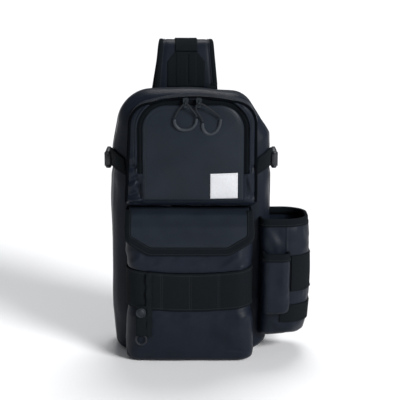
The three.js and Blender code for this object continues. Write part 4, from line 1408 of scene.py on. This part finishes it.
def add_load_webbing():
    plan = pocket_plan(*BAND_SEAT, count=401)
    places = lengths(plan) - lengths(plan)[-1] / 2
    up = mirrored(0, 0.1, 0.25, 0.4, 0.47, 0.488, 0.5)
    levels = (BAND_LOW + BAND_HIGH) / 2 + up * (BAND_HIGH - BAND_LOW)
    grid = np.array([at_level(plan, level) for level in levels])
    grid[..., 2] += rise_at(places[None], grid[..., 2])
    normals = normals_of(grid, POCKET_INSIDE)
    slack = np.zeros(len(places))
    for low, high in zip(BAND_SEAMS, BAND_SEAMS[1:]):
        share = np.clip((places - low) / (high - low), 0, 1)
        slack = np.maximum(slack, BAND_SLACK * np.sin(np.pi * share) ** 0.6)
    lift = GAP + webbing_height(up)[:, None] + slack
    sheet("load_webbing", grid, normals, lift, 0.3 * GAP + slack, POCKET_INSIDE, WEBBED, "gear_webbing")
    return Skin(grid + normals * lift[..., None], POCKET_INSIDE, grid[:, len(places) // 2, 2], places)


# Bottle pocket and tool pocket

# Up each pocket: the share of its height and of its plan's size
BOTTLE_ROWS = [(0, 0.68), (0.012, 0.78), (0.035, 0.865), (0.11, 0.96), (0.27, 1), (0.55, 1.02), (0.75, 1),
               (1, 0.955)]
TOOL_ROWS = [(0, 0.8), (0.03, 0.91), (0.06, 0.96), (0.3, 1), (0.85, 1), (1, 0.96)]
BOTTLE_MIDDLE = (HALF_WIDTH + 24, (BOTTLE_REAR - BOTTLE_FRONT) / 2, 110)
TOOL_MIDDLE = (TOOL_PLACE, -BOTTLE_FRONT, 105)
BOTTLE_SEAM = 128.5
WIDE_BAND = (91, 141)
NARROW_BAND = (47.5, 72.5)


def bottle_plan(count=241):
    """The bottle pocket's outline from above, from the body's front corner round to its side."""
    right = HALF_WIDTH + BOTTLE_REACH
    inner = HALF_WIDTH - BOTTLE_LAP
    corners = [
        (inner, FRONT_Y + BOTTLE_SLANT, 0),
        (inner + BOTTLE_SLANT, -BOTTLE_FRONT, 15),
        (right, -BOTTLE_FRONT + BOTTLE_SLANT, 38),
        (right, BOTTLE_REAR, 34),
        (HALF_WIDTH - BOTTLE_REAR_LAP, BOTTLE_REAR - BOTTLE_SLANT, 0),
    ]
    return even(rounded(corners), count)


BOTTLE_FOLDS = [
    ((112, -60, 176), (128, -58, 158), 5, -1.5),
    ((104, -60, 172), (118, -60, 150), 5, 1.3),
    ((134, -56, 178), (152, -44, 160), 7, 1.1),
    ((150, -46, 176), (158, -30, 150), 6, -1.2),
    ((110, -58, 52), (140, -50, 44), 6, -1.4),
    ((104, -56, 58), (120, -58, 40), 5, 1.2),
    ((140, -50, 84), (158, -30, 82), 5, 1.3),
]


def bottle_grid():
    plan = bottle_plan()
    x, y = plan.T
    outside = x > HALF_WIDTH
    free = outside | (y < FRONT_Y) | (y > 0)
    middle_y = BOTTLE_MIDDLE[1]
    shares = two_paces(0.12, 16, 52)
    rows = []
    for share, size in zip(shares, smoothed(read(BOTTLE_ROWS, shares), 4)):
        wide = HALF_WIDTH + (x - HALF_WIDTH) * np.where(outside, size, 1)
        deep = middle_y + (y - middle_y) * np.where(free, size, 1)
        rows.append(at_level(np.column_stack([wide, deep]), BOTTLE_LOW + share * (BOTTLE_TOP - BOTTLE_LOW)))
    return smoothed(np.array(rows).transpose(1, 0, 2), 3).transpose(1, 0, 2), lengths(plan)


def add_base(name, rim, middle, shares, thickness):
    """The floor of an open pocket, in rings that close in from its lowest row."""
    base = np.array([middle + (rim - middle) * share for share in shares]) + np.array((0, 0, 0.4))
    layered(name, base, base + np.array((0, 0, thickness)), middle + np.array((0, 0, 100)), COATED)


def add_bottle_pocket():
    grid, places = bottle_grid()
    normals = normals_of(grid, BOTTLE_MIDDLE)
    levels = grid[..., 2]
    under_bands = sum(smooth_steps((levels - low) / 3) * smooth_steps((high - levels) / 3)
                      for low, high in (NARROW_BAND, WIDE_BAND))
    free = (1 - under_bands) * smooth_steps((BOTTLE_TOP - 6 - levels) / 8)
    relief = folds(grid, BOTTLE_FOLDS) + 0.9 * ripple(grid, 30, 41) + 0.3 * ripple(grid, 12, 6) + 0.6
    seam = 0.9 * hump(grid[..., 0] - BOTTLE_SEAM, 1.1) * (grid[..., 1] < -20) * (levels > 140)
    grid = grid + normals * ((relief + seam) * free)[..., None]
    sheet("bottle_pocket_cloth", grid, normals, 0, -WALL, BOTTLE_MIDDLE, COATED, "bottle_pocket")
    floor = np.array((*BOTTLE_MIDDLE[:2], BOTTLE_LOW))
    add_base("bottle_base", grid[0], floor, (0.99, 0.6, 0.3, 0.03), 2)
    return Skin(grid, BOTTLE_MIDDLE, grid[:, 0, 2], places)


# A folded hem's section from its low outer edge over the rim and down inside: up from the rim, and
# out from the cloth
HEM_ROWS = [
    (-HEM, 0.15),
    (-HEM + 0.3, 1.1),
    (-7, TAPE),
    (-5.4, 0.95),
    (-3, TAPE),
    (-0.6, TAPE),
    (0.4, 0.6),
    (0.75, -WALL / 2),
    (0.4, -WALL - 0.5),
    (-1, -WALL - 1),
    (-5, -WALL - 1),
    (-HEM, -WALL - 0.8),
    (-HEM, -WALL),
]


def add_hem(name, skin, top, node):
    """Tape folded over a pocket's rim: up its outside, over the top and down inside."""
    grid = []
    for up, out in HEM_ROWS:
        points, normals = skin.at(np.full(len(skin.places), top + min(up, 0) - 0.05), skin.places)
        spots = points + normals * out
        spots[:, 2] = top + up
        grid.append(spots)
    across = np.array([up + out / 2 for up, out in HEM_ROWS])
    grain = np.stack(np.broadcast_arrays(skin.places[:, None], across[None]), -1).reshape(-1, 2)
    closed_form(name, np.array(grid).transpose(1, 0, 2), BOUND, node, grain=grain)


def add_band(name, level_range, start, node):
    """Webbing round the bottle pocket, from a place beside the tool pocket to the back."""
    low, high = level_range
    up = mirrored(0.1, 0.3, 0.44, 0.48, 0.5)
    places = BOTTLE_SKIN.places[BOTTLE_SKIN.places >= start]
    levels, run = np.meshgrid((low + high) / 2 + up * (high - low), places, indexing="ij")
    points, normals = BOTTLE_SKIN.at(levels, run)
    sheet(name, points, normals, GAP + webbing_height(up)[:, None], 0.1, BOTTLE_MIDDLE, WEBBED, node)


def tool_skin():
    half = TOOL_WIDTH / 2
    front = -BOTTLE_FRONT - TOOL_DEPTH
    plan = even(rounded([
        (TOOL_PLACE - half, FRONT_Y - 8, 0),
        (TOOL_PLACE - half, front, TOOL_CORNER),
        (TOOL_PLACE + half, front, TOOL_CORNER),
        (TOOL_PLACE + half, FRONT_Y - 4, 0),
    ]), 141)
    middle = np.array((TOOL_PLACE, FRONT_Y))
    shares = two_paces(0.1, 9, 34)
    grid = np.array([at_level(middle + (plan - middle) * size, TOOL_LOW + share * (TOOL_TOP - TOOL_LOW))
                     for share, size in zip(shares, smoothed(read(TOOL_ROWS, shares), 2))])
    free = smooth_steps((TOOL_TOP - 12 - grid[..., 2]) / 8)
    relief = (0.6 * ripple(grid, 24, 9) + 0.3 * ripple(grid, 10, 19)) * free
    grid = grid + normals_of(grid, TOOL_MIDDLE) * relief[..., None]
    return Skin(grid, TOOL_MIDDLE, grid[:, 0, 2], lengths(plan))


def add_tool_pocket():
    skin = tool_skin()
    sheet("tool_pocket_cloth", skin.grid, skin.normals, 0, -WALL, TOOL_MIDDLE, COATED, "tool_pocket")
    floor = np.array((TOOL_PLACE, -BOTTLE_FRONT - 4, TOOL_LOW))
    add_base("tool_base", skin.grid[0], floor, (0.99, 0.5, 0.05), 1.6)
    add_hem("tool_binding_tape", skin, TOOL_TOP, "tool_binding")
    return skin


# Key strap, its tab and snap on the load webbing

GEAR_STRAP_X = -55.5
GEAR_STRAP_WIDTH = 7.5
GEAR_STRAP_LOW = 38
GEAR_STRAP_TOP = 126
GEAR_TAB_X = -66.3
GEAR_TAB_WIDTH = 13.5
GEAR_TAB_TOP = 80
GEAR_TAB_HALF = 2.3
# How far the middles of the strap and the tab stand off the band
GEAR_STRAP_LIFT = 2.1
GEAR_TAB_LIFT = 2.4
ON_BAND = 2 * GAP + WEBBING
# How far the lower pocket's front stands out at each height, as a share of its depth
GEAR_FRONT = [(30, 1.02), (41, 1.02), (68, 0.99), (72, 0.945), (123.6, 0.945), (130, 1.01)]


def superellipse(half_across, half_out, sides, power):
    """A rounded box's section, squarer with a higher power."""
    turn = np.linspace(0, 2 * np.pi, sides, endpoint=False)
    cosine, sine = np.cos(turn), np.sin(turn)
    return np.stack([half_across * np.sign(cosine) * np.abs(cosine) ** (2 / power),
                     half_out * np.sign(sine) * np.abs(sine) ** (2 / power)], 1)


def pocket_front(levels):
    """Y of the lower pocket's front at each height."""
    return FRONT_Y - read(GEAR_FRONT, levels) * POCKET_DEPTH


def add_gear_strap():
    """A ribbed elastic strap that waves in and out between its sewn places."""
    levels = np.linspace(GEAR_STRAP_TOP, GEAR_STRAP_LOW, 150)
    wave = 0.9 * np.sin((levels - GEAR_STRAP_LOW) / 25 * 2 * np.pi)
    y = smoothed(pocket_front(levels), 30) - ON_BAND - GEAR_STRAP_LIFT - wave
    x = GEAR_STRAP_X + 0.5 * np.sin((levels - 50) / 17 * 2 * np.pi)
    across = np.linspace(-1, 1, 19)
    ribbing = 0.95 + 0.22 * np.cos(across * np.pi * 4)
    face = np.stack([across * GEAR_STRAP_WIDTH / 2, ribbing], 1)
    back = face[::-1] * np.array((1, -0.8))
    grid = swept(np.stack([x, y, levels], 1), np.vstack([face, back]))
    closed_form("gear_strap_elastic", grid, ELASTIC, "gear_strap")


def add_gear_tab():
    """Webbing folded back on itself round the ring, held shut by the snap."""
    levels = np.linspace(GEAR_STRAP_LOW + 0.6, GEAR_TAB_TOP - 0.4, 60)
    y = smoothed(pocket_front(levels), 20) - ON_BAND - GEAR_TAB_LIFT
    line = np.stack([np.full(len(levels), GEAR_TAB_X), y, levels], 1)
    end = np.minimum(levels - levels[0], levels[-1] - levels)
    round_off = np.sqrt(np.clip(1 - (1 - np.clip(end / 2.2, 0, 1)) ** 2, 0.02, 1))
    sections = [superellipse(GEAR_TAB_WIDTH / 2 * (0.9 + 0.1 * share), GEAR_TAB_HALF * share, 32, 5)
                for share in round_off]
    closed_form("gear_tab_webbing", swept(line, np.array(sections)), WEBBED, "gear_tab")


# The pressed cap from its edge to its middle: the radius as a share of its size, and the share of
# its height
SNAP_PROFILE = [(0, 0), (0.5, 0), (0.5, 0.4), (0.475, 0.62), (0.43, 0.7), (0.385, 0.62), (0.37, 0.55),
                (0.345, 0.6), (0.31, 0.78), (0.2, 0.95), (0.08, 1), (0.005, 1)]
SNAP_HEIGHT = 2.6
SNAP_POINT = 0.004


def add_snap():
    low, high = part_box("snap_cap")
    middle = np.array(((low.x + high.x) / 2, high.y, (low.z + high.z) / 2)) / MM
    size = (high.x - low.x) / MM
    turn = np.linspace(0, 2 * np.pi, 40, endpoint=False)
    around = np.stack([np.cos(turn), np.zeros(40), np.sin(turn)], 1) * size
    rings = [middle + around * max(reach, SNAP_POINT) - np.array((0, up * SNAP_HEIGHT, 0))
             for reach, up in SNAP_PROFILE]
    closed_form("snap_cap_pressed", np.array(rings), SNAP, "snap_cap")


# Compression straps and their buckles

ON_ZIP = 2 * GAP + TAPE
SIDE_STRAP_RISE = 8
BUCKLE_START = -12
BUCKLE_THICKNESS = 9.5
# Along the strap: the place, half the height and half the thickness of each part of a buckle
SOCKET_ROWS = [(0, 10.2, 2.6), (0.6, 11.2, 3.7), (2.5, 12.2, 4.3), (9, 12.6, 4.6), (16, 13.3, 4.6),
               (20, 13.4, 4.4), (21.4, 12.8, 3.9), (22, 12, 2.8)]
TONGUE_ROWS = [(21, 8.6, 2.4), (22.6, 9.6, 3.2), (24, 11.4, 3.6), (28, 12.2, 3.6), (31, 12, 3.4),
               (32, 11, 2.2)]
# The grip ribs' places along it, half their length and how far they stand out
BUCKLE_RIBS = (2.6, 5.2, 7.8, 10.4)
RIB_HALF = 9
RIB_OUT = 4.5
# The prongs that are squeezed to open it: the place along the strap and the height off its middle
BUCKLE_PRONG = [(-0.6, 8.6), (13, 12.6), (22, 13.2)]


def add_side_strap(name, side):
    middle = place_on_outline(SIDE_STRAP_LEVEL, side)
    width = mirrored(0, 0.2, 0.36, 0.44, 0.485, 0.5)
    levels, places = np.meshgrid(np.linspace(SEAM_Y - 1, FRONT_Y, 70), middle + width * SIDE_STRAP,
                                 indexing="ij")
    rise = SIDE_STRAP_RISE * np.clip((SEAM_Y - levels) / (SEAM_Y - FRONT_Y), 0, 1)
    points, normals = BODY_SKIN.at(levels, places + side * rise)
    lift = ON_ZIP + webbing_height(width)
    node = f"side_strap_{name}"
    sheet(f"{node}_webbing", points, normals, lift, ON_ZIP / 2, BODY_MIDDLE, WEBBED, node)


def add_side_buckle(name, side):
    x = side * (HALF_WIDTH - WAIST_TUCK + ON_ZIP + WEBBING + GAP + BUCKLE_THICKNESS / 2)

    def spot(along, up, out=0.0):
        return x + side * out, BUCKLE_START + along, SIDE_STRAP_LEVEL + up

    grids = []
    for rows in (SOCKET_ROWS, TONGUE_ROWS):
        rows = np.array(rows, float)
        places = np.unique(np.concatenate([rows[:, 0], np.linspace(rows[0, 0], rows[-1, 0], 16)]))
        sections = [superellipse(read(rows, place, 1), read(rows, place, 2), 32, 4) for place in places]
        grids.append(swept([spot(place, 0) for place in places], sections, width_way=(0, 0, 1)))
    for along in BUCKLE_RIBS:
        line = even([spot(along, -RIB_HALF, RIB_OUT), spot(along, RIB_HALF, RIB_OUT)], 8)
        grids.append(swept(line, superellipse(0.7, 0.6, 12, 3), width_way=(0, 1, 0)))
    for way in (-1, 1):
        line = spline([spot(along, way * up) for along, up in BUCKLE_PRONG], 8)
        grids.append(swept(line, superellipse(1.5, 2.6, 16, 3), width_way=(0, 0, 1)))
    joined_forms(f"side_buckle_{name}_moulding", grids, PLASTIC, f"side_buckle_{name}")


# Shoulder strap

def strap_line():
    start = BACK_Y + GAP + STRAP_THICKNESS / 2
    fold = STRAP_FOLD - STRAP_THICKNESS / 2
    points = [(STRAP_PLACE - left * HALF_WIDTH, start + behind * STRAP_SETBACK, up * fold)
              for left, behind, up in STRAP_ROUTE]
    return even(spline(points, 30), STEP_POINTS * STRAP_STEPS + 1)


STRAP_LINE = strap_line()
PATCH_FROM = 5
PATCH_TO = 9
PATCH_WIDTH = 52
PATCH_TAPER = [(0, 1), (0.72, 1), (1, 0.6)]
STRAP_WEBBING = 31
SLIT_PLACE = 2.6
ON_STRAP = STRAP_THICKNESS / 2 + GAP


def add_shoulder_strap():
    """Foam in coated cloth, bound along both edges, with sewn lines beside the binding."""
    shares = np.linspace(0, 1, len(STRAP_LINE))
    half = read(STRAP_TAPER, shares) * STRAP_WIDTH / 2
    across = np.sin(np.linspace(-np.pi / 2, np.pi / 2, 41))
    sections = []
    for share, reach in zip(shares, half):
        off = reach * (1 - np.abs(across))
        swell = STRAP_THICKNESS / 2 * np.sqrt(np.clip(1 - np.abs(across) ** 10, 0, 1))
        seam = 0.8 * hump(off - 8, 1.3)
        outer = np.stack([across * reach, -(swell - seam)], 1)
        inner = np.stack([across[::-1][1:-1] * reach, (swell - seam)[::-1][1:-1]], 1)
        sections.append(np.vstack([outer, inner]))
    grid = swept(STRAP_LINE, np.array(sections))
    strap = closed_form("shoulder_strap_foam", grid, COATED, "shoulder_strap")
    for name, side in (("left", -1), ("right", 1)):
        bead = superellipse(3.4, STRAP_THICKNESS / 2 + 0.25, 24, 3)
        edge = np.array([bead + np.array((side * (reach - 3.1), 0)) for reach in half])
        closed_form(f"strap_edge_{name}", swept(STRAP_LINE, edge), BOUND)


def strap_ribbon(name, first, last, width, profile, taper, node):
    """Webbing laid along the strap's outer side between two of its steps."""
    line = STRAP_LINE[first * STEP_POINTS:last * STEP_POINTS + 1]
    sections = []
    for share in np.linspace(0, 1, len(line)):
        reach = width / 2 * read(taper, share)
        across = np.clip(np.linspace(-1, 1, 61) * width / 2, -reach, reach)
        height = profile(across, reach, min(share, 1 - share) * lengths(line)[-1])
        outer = np.stack([across, -(ON_STRAP + height)], 1)
        inner = np.stack([across[::-1], np.full(61, 0.25 - ON_STRAP)], 1)
        sections.append(np.vstack([outer, inner]))
    closed_form(name, swept(line, sections), WEBBED, node)


def patch_profile(across, reach, end):
    edge = np.minimum(reach - np.abs(across), end)
    base = 1.1 * np.clip(edge / 0.5, 0.2, 1)
    raised = 0.9 * smooth_steps((STRAP_WEBBING / 2 - 1.5 - np.abs(across)) / 0.8)
    slit = 1.5 * hump(across - SLIT_PLACE, 0.8) * smooth_steps((end - 3) / 2)
    return np.maximum(base + raised * np.clip(edge / 0.6, 0, 1) - slit, 0.1)


def webbing_profile(across, reach, end):
    edge = np.minimum(reach - np.abs(across), end)
    return WEBBING * np.clip(edge / 0.6, 0.25, 1)


def square_to(heading):
    """Across and out, square to a heading."""
    across = unit(np.array((1.0, 0, 0)) - heading * heading[0])
    return across, np.cross(heading, across)


def strap_rings(start, heading, rows):
    """Rings square to the strap's end: each row has its place along and across it, and its half size
    across and out."""
    across, out = square_to(heading)
    rings = []
    for along, beside, half_across, half_out in rows:
        section = superellipse(half_across, half_out, 20, 4)
        centre = start + heading * along + across * beside
        rings.append(centre + section[:, :1] * across + section[:, 1:] * out)
    return np.array(rings)


# The ladder buckle: its bars' places along it, their half width and how far they are set off
LADDER_LENGTH = 34
LADDER_WIDTH = 46
LADDER_BARS = [(3, 2.6, 0), (13, 2.4, -0.9), (22, 2.4, 0.9), (31, 2.6, 0)]
TAIL_HALF = 15
TAIL_SEAT = (-HALF_WIDTH + 12 + TAIL_HALF, BACK_Y + GAP + WEBBING / 2, 62)
# Where the webbing first touches the back panel, from the place where it is sewn down
TAIL_TOUCH = (8, 0, 24)


def add_strap_buckle(start, heading):
    across, out = square_to(heading)
    grids = []
    ends = ((0.2, 1.6, 1.6), (1, 2.8, 2.6), (LADDER_LENGTH - 1, 2.8, 2.6), (LADDER_LENGTH - 0.2, 1.6, 1.6))
    for side in (-1, 1):
        beside = side * (LADDER_WIDTH / 2 - 3)
        rows = [(along, beside, half_across, half_out) for along, half_across, half_out in ends]
        grids.append(strap_rings(start, heading, rows))
    half_bar = LADDER_WIDTH / 2 - 2
    for place, half, lift in LADDER_BARS:
        middle = start + heading * place + out * lift
        line = [middle + across * spot for spot in np.linspace(-half_bar, half_bar, 12)]
        grids.append(swept(line, superellipse(half, 2.2, 16, 3), width_way=heading))
    joined_forms("strap_buckle_ladder", grids, PLASTIC, "strap_buckle")


def add_strap_end():
    """The ladder buckle at the strap's end and the webbing from it down to the back panel."""
    heading = unit(STRAP_LINE[-1] - STRAP_LINE[-2])
    start = STRAP_LINE[-1] + heading * 2 * GAP
    add_strap_buckle(start, heading)
    tail_start = start + heading * (LADDER_LENGTH + 2 * GAP)
    seat = np.array(TAIL_SEAT)
    touch = seat + np.array(TAIL_TOUCH)
    hanging = tail_start + heading * LADDER_LENGTH / 2
    line = even(spline([tail_start, hanging, touch + (tail_start - touch) * 0.3, touch, seat], 30), 120)
    corners = [(-TAIL_HALF, -0.4), (-TAIL_HALF + 0.6, -WEBBING / 2), (0, -WEBBING / 2),
               (TAIL_HALF - 0.6, -WEBBING / 2), (TAIL_HALF, -0.4)]
    section = corners + [(-across, -out) for across, out in corners]
    closed_form("strap_tail_webbing", swept(line, section), WEBBED, "strap_tail")


# The tape loop beside the strap's base: its place (x, z), half its width and its height
LOOP_PLACE = (30.5, 355)
LOOP_HALF = 5.2
LOOP_HEIGHT = 8


def add_strap_loop():
    """A small tape loop in the seam at the right of the strap's base."""
    turn = np.linspace(0, np.pi, 24)
    x = LOOP_PLACE[0] + LOOP_HALF * np.cos(turn)
    z = LOOP_PLACE[1] + LOOP_HEIGHT * np.sin(turn) ** 0.8
    line = standing(np.stack([x, z], 1), SEAM_Y + 3)
    section = superellipse(3, 0.6, 16, 4)
    closed_form("strap_base_loop", swept(line, section, width_way=(0, 1, 0)), BOUND)


# Stitching

def add_stitches(name, lines, pitch, length, width, height, material=THREAD):
    """Rows of raised stitches along lines of points with their normals, joined as one mesh."""
    along = np.array((-0.5, -0.25, 0.25, 0.5)) * length
    rise = np.array((-0.1, 1, 1, -0.1)) * height
    half = np.array((0.3, 0.5, 0.5, 0.3)) * width
    all_points, faces, start = [], [], 0
    for points, normals in lines:
        run = lengths(points)
        count = int(run[-1] // pitch)
        places = (np.arange(count) + 0.5) * run[-1] / max(count, 1)
        centre, normal, ahead = (np.stack([np.interp(places, run, field[:, axis]) for axis in range(3)], 1)
                                 for field in (points, normals, unit(np.gradient(points, axis=0))))
        normal = unit(normal)
        ahead = unit(ahead - normal * np.sum(ahead * normal, 1, keepdims=True))
        beside = np.cross(ahead, normal)
        for go, up, reach in zip(along, rise, half):
            for side, level in ((-1, -0.3), (1, -0.3), (1, up), (-1, up)):
                all_points.append(centre + ahead * go + beside * side * reach + normal * level)
        index = start + np.arange(16)[:, None] * count + np.arange(count)[None]
        for part in range(0, 12, 4):
            for corner in range(4):
                a, b = part + corner, part + (corner + 1) % 4
                faces.append(np.stack([index[a], index[b], index[b + 4], index[a + 4]], 1))
        faces += [index[[3, 2, 1, 0]].T, index[[12, 13, 14, 15]].T]
        start += 16 * count
    return add_piece(name, np.vstack(all_points), np.vstack(faces), material)


def on_front(flat):
    """Points on the front compartment's face with their outward normals."""
    slope_x, slope_z = ((face_points(flat + step) - face_points(flat - step))[:, 1]
                        for step in np.eye(2) / 2)
    return face_points(flat), unit(np.stack([slope_x, -np.ones(len(flat)), slope_z], 1))


def stitch_face():
    inner = even(face_outline(-STITCH_INSET), 500, closed=True)
    above, _ = arch(ZIP_WIDTH + STITCH_INSET)
    add_stitches("face_stitching", [on_front(inner), on_front(above)], 3.4, 2.3, 0.6, 0.42)


def stitch_label(inset=1.6):
    left, right, bottom, top = label_sides()
    left, right, bottom, top = left + inset, right - inset, bottom + inset, top - inset
    square = even([(left, bottom), (right, bottom), (right, top), (left, top)], 160, closed=True)
    square[:, 1] += LABEL_TILT * (square[:, 0] - (left + right) / 2)
    points, normals = on_front(square)
    line = (points + normals * 0.75, normals)
    add_stitches("label_stitching", [line], 2.4, 1.7, 0.4, 0.25, LABEL)


# How far the flap's two stitched lines lie from its tape's middle
FLAP_STITCHES = (-3.6, 3.9)


def stitch_flap():
    path, inward = flap_path()
    rows = []
    for off in FLAP_STITCHES:
        spots = path + inward * off
        points, normals = FLAP_GROUND(spots[:, 1], spots[:, 0])
        rows.append((points + normals * TAPE, normals))
    add_stitches("flap_stitching", rows, 3, 2, 0.5, 0.3)


def stitch_webbing():
    levels = np.linspace(BAND_LOW + 1, BAND_HIGH - 1, 40)
    rows = [BAND_SKIN.at(levels, np.full(40, place + off)) for place in LOOP_SEAMS for off in (-1.2, 1.2)]
    places = np.linspace(BAND_SKIN.places[4], BAND_SKIN.places[-5], 300)
    rows += [BAND_SKIN.at(np.full(300, level), places) for level in (BAND_LOW + 3, BAND_HIGH - 3)]
    add_stitches("webbing_stitching", rows, 3, 2, 0.55, 0.3)


def stitch_hems(down=7.6):
    rows = []
    for skin, top in ((BOTTLE_SKIN, BOTTLE_TOP), (TOOL_SKIN, TOOL_TOP)):
        points, normals = skin.at(np.full(len(skin.places), top - down), skin.places)
        rows.append((points + normals * TAPE, normals))
    add_stitches("hem_stitching", rows, 3.2, 2.1, 0.55, 0.35)


def stitch_strap(inset=6.9):
    reach = read(STRAP_TAPER, np.linspace(0, 1, len(STRAP_LINE))) * STRAP_WIDTH / 2
    rows = []
    for side in (-1, 1):
        out = np.full(len(reach), 0.1 - STRAP_THICKNESS / 2)
        section = np.stack([side * (reach - inset), out], 1)[:, None]
        points = swept(STRAP_LINE, section)[:, 0]
        centre = swept(STRAP_LINE, section * np.array((1, 0)))[:, 0]
        rows.append((points, unit(points - centre)))
    add_stitches("strap_stitching", rows, 3.6, 2.5, 0.6, 0.4)


# Softened edges on the frame's own hard pieces

def soften_edges(node, width=0.5, sharpest=35):
    bevel = frame["nodes"][node].modifiers.new("edges", "BEVEL")
    bevel.width = width * MM
    bevel.segments = 2
    bevel.limit_method = "ANGLE"
    bevel.angle_limit = math.radians(sharpest)


studio()
camera()
add_pull("left")
add_pull("right")
BODY_SKIN = add_body()
add_back_panel()
add_main_zip(BODY_SKIN)
add_front_pocket()
add_front_seam_shade()
add_front_face()
add_front_zip()
add_label()
add_lower_pocket()
FLAP_GROUND = add_flap()
BAND_SKIN = add_load_webbing()
BOTTLE_SKIN = add_bottle_pocket()
add_hem("bottle_binding_tape", BOTTLE_SKIN, BOTTLE_TOP, "bottle_binding")
# The wide band starts beside the tool pocket, in the plan's front stretch, and the narrow one under it
FRONT_STRETCH = bottle_plan()[:90, 0]
BESIDE_TOOL = TOOL_PLACE + TOOL_WIDTH / 2 + 1
NARROW_LEAD = 14
BAND_START = float(np.interp(BESIDE_TOOL, FRONT_STRETCH, BOTTLE_SKIN.places[:90]))
add_band("bottle_band_wide_webbing", WIDE_BAND, BAND_START, "bottle_band_wide")
add_band("bottle_band_narrow_webbing", NARROW_BAND, BAND_START - NARROW_LEAD, "bottle_band_narrow")
TOOL_SKIN = add_tool_pocket()
add_gear_strap()
add_gear_tab()
add_snap()
for side_name, side_sign in (("left", -1), ("right", 1)):
    add_side_strap(side_name, side_sign)
    add_side_buckle(side_name, side_sign)
add_shoulder_strap()
strap_ribbon("strap_patch_weave", PATCH_FROM, PATCH_TO, PATCH_WIDTH, patch_profile, PATCH_TAPER,
             "strap_patch")
strap_ribbon("strap_middle_webbing", PATCH_TO, STRAP_STEPS, STRAP_WEBBING, webbing_profile, [(0, 1)],
             "strap_webbing")
add_strap_end()
add_strap_loop()
stitch_face()
stitch_label()
stitch_flap()
stitch_webbing()
stitch_hems()
stitch_strap()
for slider_node in ("main_zip_slider", "zip_slider_left", "zip_slider_right"):
    soften_edges(slider_node)
RING = frame["nodes"]["gear_ring"].modifiers.new("round", "SUBSURF")
RING.levels = RING.render_levels = 2

# What the frame shows as it is gets the same finish
for subpart in frame["record"]["subparts"]:
    node = frame["nodes"].get(subpart["node"])
    if node is None or node.hide_render or subpart["material_slot"] not in LOOKS:
        continue
    node.data.materials.clear()
    node.data.materials.append(LOOKS[subpart["material_slot"]])
